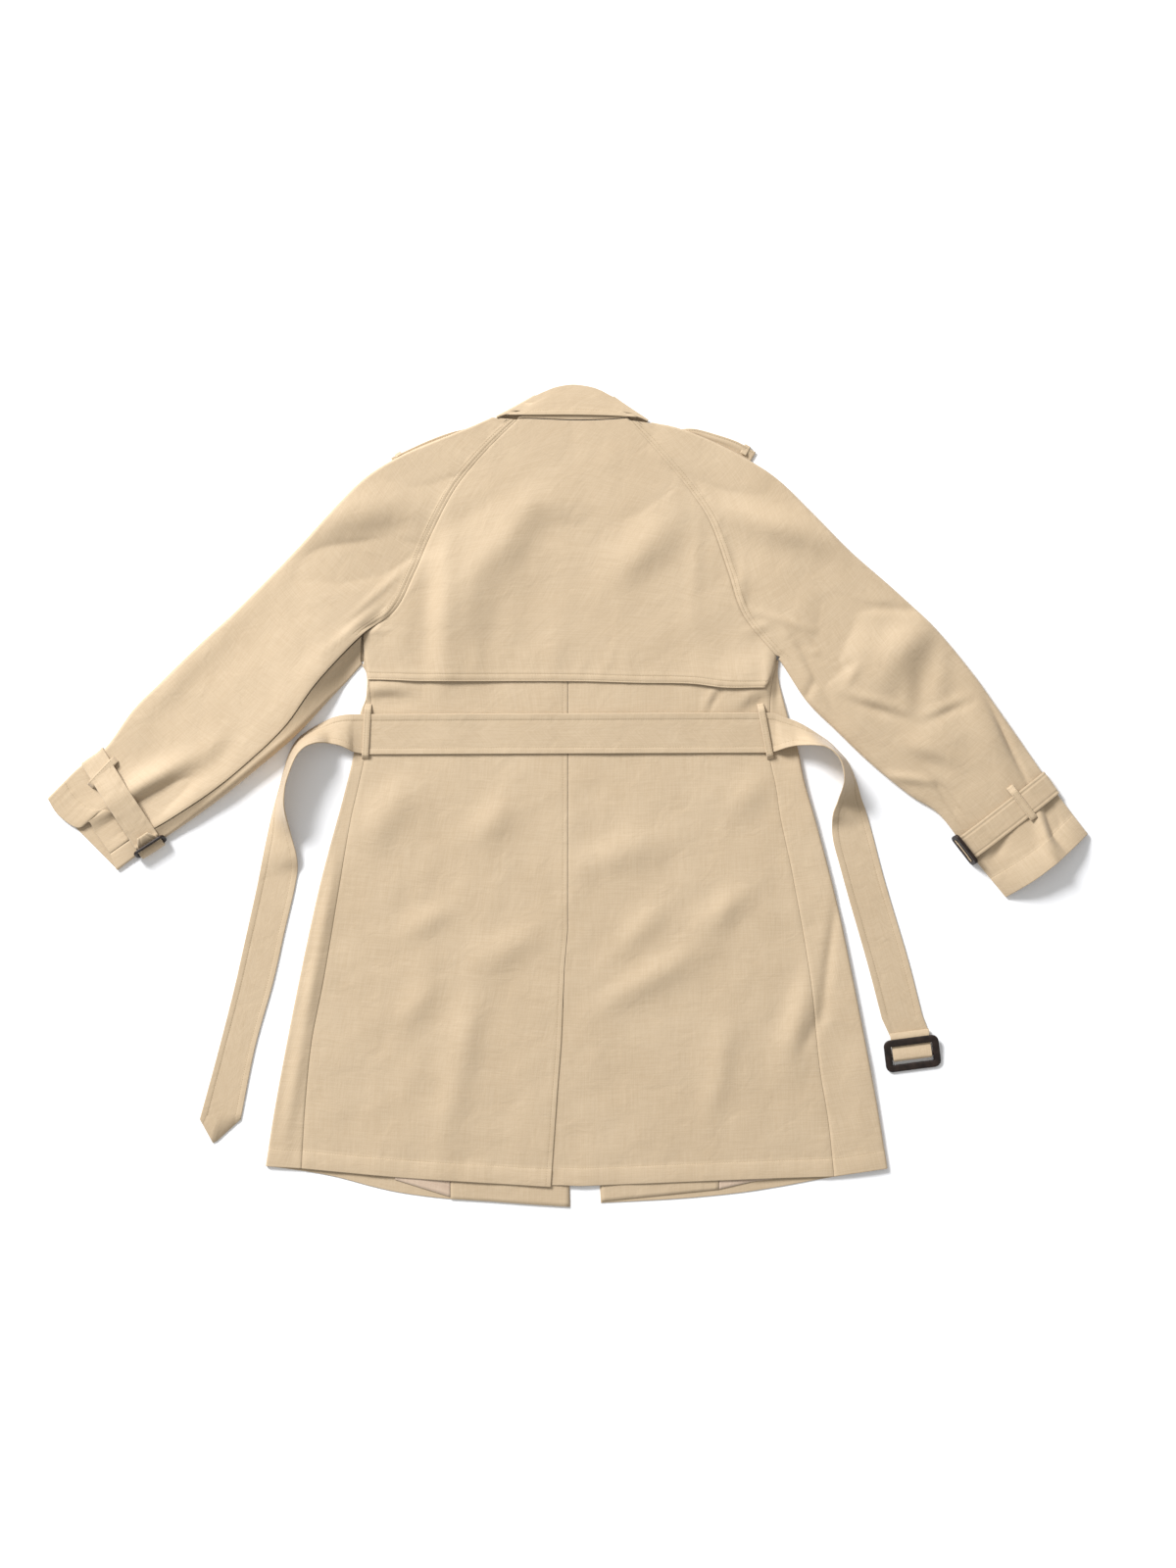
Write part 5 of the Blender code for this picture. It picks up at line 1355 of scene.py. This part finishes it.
def makeCuffStrap(side, cuff, tip, hook, facts):
    floor = strapCloth / 2
    length = cuff.length
    path = list(tip) + [(along, floor) for along in np.linspace(3, length - 2, 6)]
    top = cuff.top(length - 2)
    for turn in np.radians((-50, 0, 50)):
        height = (top + floor) / 2 + (top - floor) / 2 * math.sin(turn)
        path.append((length - 1 + 3.2 * math.cos(turn), height))
    path += spanned([(along, cuff.top(along)) for along in np.linspace(length - 2, 8, 9)])
    path += [(4.0, cuff.top(4))] + list(hook)
    fine = spline(path, facts["rows"])
    half = cuffStrapWidth / 2
    across = np.linspace(1, -1, 11)
    rows = []
    for along, height in fine:
        share = float(smoothStep((along / length - 0.6) / 0.35))
        rows.append([(*cuff.place(along + share * cuff.beyond(s * half), s * half), height) for s in across])
    grid = np.array(rows)
    if tip:
        tipRows = 8
        pull = (1 - np.arange(tipRows) / tipRows)[:, None] * facts["tipTaper"] * np.abs(across)[None]
        grid[:tipRows] += (grid[:tipRows, 5:6] - grid[:tipRows]) * pull[..., None]
    lines = facts["lines"]
    grid = resampled(grid, 1, lines, lines, 5)
    left, right, along, _ = edgeDistances(grid)
    normal, _ = gridNormals(grid, False)
    shape = seamRelief(left, along, lines, lines[-1] + 1.2, 0.0, 10.0)
    shape = shape + seamRelief(right, along, lines, lines[-1] + 1.2, 0.0, 11.0)
    grid = grid + normal * shape[..., None]
    piece = clothPiece(f"cuffStrap{side}", grid, strapCloth, False, gabardine, offset=0.0, uvTurn=90)
    keep(piece, "gabardine", f"cuff_strap_{side.lower()}")
    normal, _ = gridNormals(grid, False)
    for edge, column in (("left", 3), ("right", -4)):
        for line in lines:
            points = lineOn(grid, edge, line, lift=0.0)
            stitchRows.append(points + normal[:, column] * (strapCloth / 2 + 0.05))


def makeCuffBuckle(side, cuff, lean, along, height, rail=cuffBuckleRail):
    x, y = cuff.place(along)
    matrix = (Matrix.Translation((x / 1000, y / 1000, height / 1000))
              @ Matrix.Rotation(math.atan2(-cuff.along[0], cuff.along[1]), 4, "Z")
              @ Matrix.Rotation(math.radians(lean), 4, "X"))
    name = f"cuffBuckle{side}"
    ring = ringMesh(name, cuffBuckleSize, rail, cuffBuckleCorner, around=14)
    frame = placedMesh(name, ring, matrix, leather)
    keep(frame, "buckle", f"cuff_buckle_{side.lower()}")
    bar = placedMesh(name + "Bar", barMesh(name, cuffBuckleSize[0] - cuffBuckleRail[0], cuffBarRadius, 14),
                     matrix, leather)
    keep(bar, "buckle")


def makeCuffs(facts):
    left = Cuff((-519, -60), (-590, 50), sleeveLeftRows, sleeveTops["Left"])
    right = Cuff((497.5, -64), (599, 14.5), sleeveRightRows, sleeveTops["Right"])
    makeCuffStrap("Left", left, leftStrapTip, leftStrapHook, facts)
    makeCuffStrap("Right", right, (), rightStrapHook, facts)
    makeCuffBuckle("Left", left, 68, -3.0, 12.0)
    makeCuffBuckle("Right", right, 72, -4.2, 10.4, (5.6, 4.8))
    for side, cuff, start, end, rises in (
        ("Left", left, (-560.5, 46), (-592, 13), (3.7, 4.2)),
        ("Right", right, (549.5, 11.5), (579.5, -28), (9.5, 4)),
    ):
        middle = (np.array(start) + np.array(end)) / 2
        along = float((middle - cuff.inner) @ cuff.along)
        over = max(cuff.top(along + step) for step in (-8, 0, 8)) + strapCloth / 2 + 0.4
        makeBand(f"cuffLoop{side}", f"cuff_loop_{side.lower()}", start, end, loopWidth + 2, over, rises,
                 cuff.clothTop)


def makeEpaulettes():
    raised = epauletteLoopCloth + seamGap
    for side, rows in (("Left", epauletteLeftRows), ("Right", epauletteRightRows)):
        lines = rowsAt(rows, np.linspace(0, len(rows) - 1, 50))
        share = np.linspace(0, 1, 14)[:, None]
        grid = []
        for index, row in enumerate(lines):
            flat = row[:2] * (1 - share) + row[2:] * share
            height = np.full((14, 1), raised * float(smoothStep((index / 49 * 8 - 2) / 4)))
            inward = share * np.linalg.norm(row[2:] - row[:2])
            ends = float(smoothStep(min(index, 49 - index) / 9))
            curled = np.maximum(1 - inward / 13, 0) * epauletteLook["curl"]
            height = height + ends * (curled + epauletteLook["ply"] * np.exp(-((inward - 5.5) / 1.3) ** 2))
            grid.append(np.concatenate([flat, height], axis=1))
        grid = resampled(np.array(grid), 1, (4.0,), (), 26)
        piece = clothPiece(f"epaulette{side}", grid, epauletteCloth, True, gabardine)
        keep(piece, "gabardine", f"epaulette_{side.lower()}")
        stitchRows.append(lineOn(grid, "left", 2.4, thickness=epauletteCloth, trim=(2, 2)))
    makeEpauletteLoop("Left", (-210, 425.2), (-0.53, 0.85), ((-2.3, 5.6),))
    makeEpauletteLoop("Right", (224, 434.5), (0.49, 0.87), ((-5, 4.2), (-10.5, 6.0)))


def makeEpauletteLoop(side, edge, outward, end):
    path = ((-24, 0.5), (-6, 0.5), (0.6, 0.55), (1.9, 1.5), (1.8, 3.0), (0.3, 3.9)) + end
    edge, outward = np.array(edge, float), np.array(outward, float)
    along = np.array((outward[1], -outward[0])) * (loopWidth + 1) / 2
    rows = []
    for distance, height in spline(path, 40):
        middle = edge + outward * distance
        rows.append([(*(middle + along * s), height) for s in np.linspace(1, -1, 7)])
    piece = clothPiece(f"epauletteLoop{side}", rows, epauletteLoopCloth, True, gabardine, offset=0.0)
    keep(piece, "gabardine", f"epaulette_loop_{side.lower()}")


stitchRows = []
sleeveTops = {}
epauletteLook = {"curl": 3.0, "ply": 0.9}
relief = {
    "foldGain": 1.28,
    "rumpleSeed": 11,
    "rumpleCount": 26,
    "rumpleSpan": (28, 120),
    "rumpleHeight": 0.07,
    "lapHeight": 0.45,
    "grooveDepth": 0.42,
    "puckerHeight": 0.17,
    "puckerReach": 5.0,
    "puckerSpan": 3.2,
}

# Body
frontLook = {"rows": 150, "raglanRows": 40, "stripColumns": 16, "hemLine": 22.0, "seed": 1.0}
print("fronts")
makeFront("Left", sleeveLeftRows, sideFoldLeft, sideSeamLeft, frontHemLeft, frontNeckLeft, frontEdgeLeft,
          frontLook)
makeFront("Right", sleeveRightRows, sideFoldRight, sideSeamRight, frontHemRight, frontNeckRight,
          frontEdgeRight, frontLook)
makeHemStrip("facingLeft", "facing_left", -145, 2.5, frontHemLeft, -445, gabardine, "gabardine")
makeHemStrip("liningLeft", "lining_left", -214, -145.5, ((-214, -477), (-145, -498.5)), -445, lining,
             "lining")
makeHemStrip("facingRight", "facing_right", 43, 189, ((43, -504), (189, -489)), -445, gabardine,
             "gabardine")
makeHemStrip("liningRight", "lining_right", 189.5, 256, ((189, -489), (228, -480), (256, -476)), -445, lining,
             "lining")
print("backs")
backLook = {"rows": 190, "raglanRows": 70, "columns": 84, "hemLine": 22.0, "sideLines": (),
            "middleLines": (6.0,)}
makeBackLeft(backLook)
makeBackRight(backLook)
shieldLook = {"columns": 130, "raglanRows": 90, "hemLines": (2.0, 9.0),
              "liftedHem": ((-150, 150, 0, 60, 40, 1.6, 0), (190, 145, 0, 46, 30, 2.2, 0))}
makeStormShield(shieldLook)

# Sleeves
print("sleeves")
sleeveLook = {"rowsAbove": 80, "rowsBelow": 180, "columns": 66, "seamLines": (4.0, 9.0), "hemLine": 30.0,
              "seed": 12.0, "ride": 0.35, "rim": 2.2, "crest": 5.5}
rightSleeveLook = dict(sleeveLook, seed=14.0, ride=0.4, rim=0.0, crest=0.0)
for side, table, hem, puff, seamShows, facts in (
    ("Left", sleeveLeftRows, hemLeft, sleeveLeftPuff, True, sleeveLook),
    ("Right", sleeveRightRows, hemRight, sleeveRightPuff, False, rightSleeveLook),
):
    makeSleeveBack(side, table, hem, puff, seamShows, facts)
    makeSleeveFront(side, table, puff, seamShows, facts)

# Collar, belt, cuffs and epaulettes
print("collar, belt, cuffs")
collarLook = {"edgeLine": 7.0, "crown": 0.2}
makeCollar()
beltLook = {"wall": 1.9, "bodySpan": (-251, 246), "bodyRows": 170, "endRows": 200, "turnbackRows": 20,
            "bodyLift": -0.3, "bodyTilt": 1.4, "bodyWave": 0.8, "edgeLine": 7.5}
makeBelt(beltLook)
makeBuckle()
makeBeltLoops()
cuffLook = {"rows": 150, "lines": (2.0, 6.0), "tipTaper": 0.55}
makeCuffs(cuffLook)
makeEpaulettes()


def stitchTree():
    # Stitches along every row: evenly spaced, turned to the row, each a little different.
    tree = bpy.data.node_groups.new("stitches", "GeometryNodeTree")
    for name, kind in (("Geometry", "NodeSocketGeometry"), ("Pitch", "NodeSocketFloat"),
                       ("Length", "NodeSocketFloat"), ("Width", "NodeSocketFloat"), ("Seed", "NodeSocketInt"),
                       ("Thread", "NodeSocketMaterial")):
        tree.interface.new_socket(name=name, in_out="INPUT", socket_type=kind)
    tree.interface.new_socket(name="Geometry", in_out="OUTPUT", socket_type="NodeSocketGeometry")
    given = node(tree, "NodeGroupInput").outputs
    curve = node(tree, "GeometryNodeMeshToCurve", links={0: given["Geometry"]}).outputs[0]
    spaced = node(tree, "GeometryNodeResampleCurve", links={"Curve": curve, "Length": given["Pitch"]},
                  mode="LENGTH").outputs[0]
    tangent = node(tree, "GeometryNodeInputTangent").outputs[0]
    jitter = node(tree, "FunctionNodeRandomValue", {0: (-0.05, -0.07, -0.02), 1: (0.05, 0.07, 0.02)},
                  {"Seed": given["Seed"]}, data_type="FLOAT_VECTOR").outputs[0]
    heading = node(tree, "ShaderNodeVectorMath", links={0: tangent, 1: jitter}).outputs[0]
    turn = node(tree, "FunctionNodeAlignRotationToVector", links={"Vector": heading}, axis="X").outputs[0]
    ball = node(tree, "GeometryNodeMeshUVSphere", {"Segments": 6, "Rings": 5, "Radius": 0.5}).outputs[0]
    size = node(tree, "ShaderNodeCombineXYZ",
                links={0: given["Length"], 1: given["Width"], 2: given["Width"]}).outputs[0]
    stitch = node(tree, "GeometryNodeTransform", links={"Geometry": ball, "Scale": size}).outputs[0]
    placed = node(tree, "GeometryNodeInstanceOnPoints",
                  links={"Points": spaced, "Instance": stitch, "Rotation": turn}).outputs[0]
    real = node(tree, "GeometryNodeRealizeInstances", links={0: placed}).outputs[0]
    smooth = node(tree, "GeometryNodeSetShadeSmooth", links={0: real}).outputs[0]
    done = node(tree, "GeometryNodeSetMaterial", links={"Geometry": smooth, "Material": given["Thread"]})
    node(tree, "NodeGroupOutput", links={0: done.outputs[0]})
    return tree


def sewn(name, rows, tree, seed):
    # Turns rows of points into a plain mesh of stitches.
    points = np.concatenate(rows) / 1000
    edges = []
    start = 0
    for row in rows:
        edges += [(i, i + 1) for i in range(start, start + len(row) - 1)]
        start += len(row)
    mesh = bpy.data.meshes.new(name + "Rows")
    mesh.from_pydata(points.tolist(), edges, [])
    source = addObject(name + "Rows", mesh)
    sewing = source.modifiers.new("stitches", "NODES")
    sewing.node_group = tree
    values = {"Pitch": stitchLook["pitch"] / 1000, "Length": stitchLook["length"] / 1000,
              "Width": stitchLook["width"] / 1000, "Seed": seed, "Thread": thread}
    for item in tree.interface.items_tree:
        if item.in_out == "INPUT" and item.name in values:
            sewing[item.identifier] = values[item.name]
    shown = source.evaluated_get(bpy.context.evaluated_depsgraph_get())
    made = bpy.data.meshes.new_from_object(shown)
    made.name = name
    bpy.data.objects.remove(source)
    piece = addObject(name, made)
    print(f"{name}: {len(made.polygons)} faces from {len(rows)} rows")
    return piece


print("stitches")
tree = stitchTree()
half = len(stitchRows) // 2
for name, rows, seed in (("stitchesA", stitchRows[:half], 3), ("stitchesB", stitchRows[half:], 8)):
    keep(sewn(name, rows, tree, seed), "gabardine")

# Floor, light and camera
studio = {"floor": "#fcfcfc", "world": 0.53, "box": 838, "boxColour": (0.985, 0.995, 1.03),
          "boxSize": 2.45, "boxAway": 7.2, "boxHeading": 131, "boxRise": 34}
floorMesh = bpy.data.meshes.new("floor")
floorMesh.from_pydata([(-4, -4, 0), (4, -4, 0), (4, 4, 0), (-4, 4, 0)], [], [(0, 1, 2, 3)])
floor = addObject("floor", floorMesh)
floor.location = (0, 0, -0.0002)
white, tree = newMaterial("white_backdrop_paper")
shader = node(tree, "ShaderNodeBsdfPrincipled", {"Base Color": linear(studio["floor"]), "Roughness": 0.9,
                                                 "Specular IOR Level": 0.1})
node(tree, "ShaderNodeOutputMaterial", links={"Surface": shader.outputs[0]})
floorMesh.materials.append(white)

world = bpy.data.worlds.new("studio")
world.use_nodes = True
world.node_tree.nodes["Background"].inputs[0].default_value = (1, 1, 1, 1)
world.node_tree.nodes["Background"].inputs[1].default_value = studio["world"]
bpy.context.scene.world = world

softBox = bpy.data.lights.new("softBox", "AREA")
softBox.energy, softBox.size = studio["box"], studio["boxSize"]
softBox.color = studio["boxColour"]
holder = addObject("softBox", softBox)
turn, rise = math.radians(studio["boxHeading"]), math.radians(studio["boxRise"])
towards = Vector((math.cos(rise) * math.cos(turn), math.cos(rise) * math.sin(turn), math.sin(rise)))
holder.location = towards * studio["boxAway"]
holder.rotation_euler = (-towards).to_track_quat("-Z", "Y").to_euler()

view = {"height": 4.609, "x": 0.0262, "y": 0.01525, "lens": 85}
camera = addObject("camera", bpy.data.cameras.new("camera"))
camera.data.lens, camera.data.sensor_width = view["lens"], 36
camera.location = (view["x"], view["y"], view["height"])
bpy.context.scene.camera = camera
bpy.context.scene.view_settings.view_transform = "Standard"
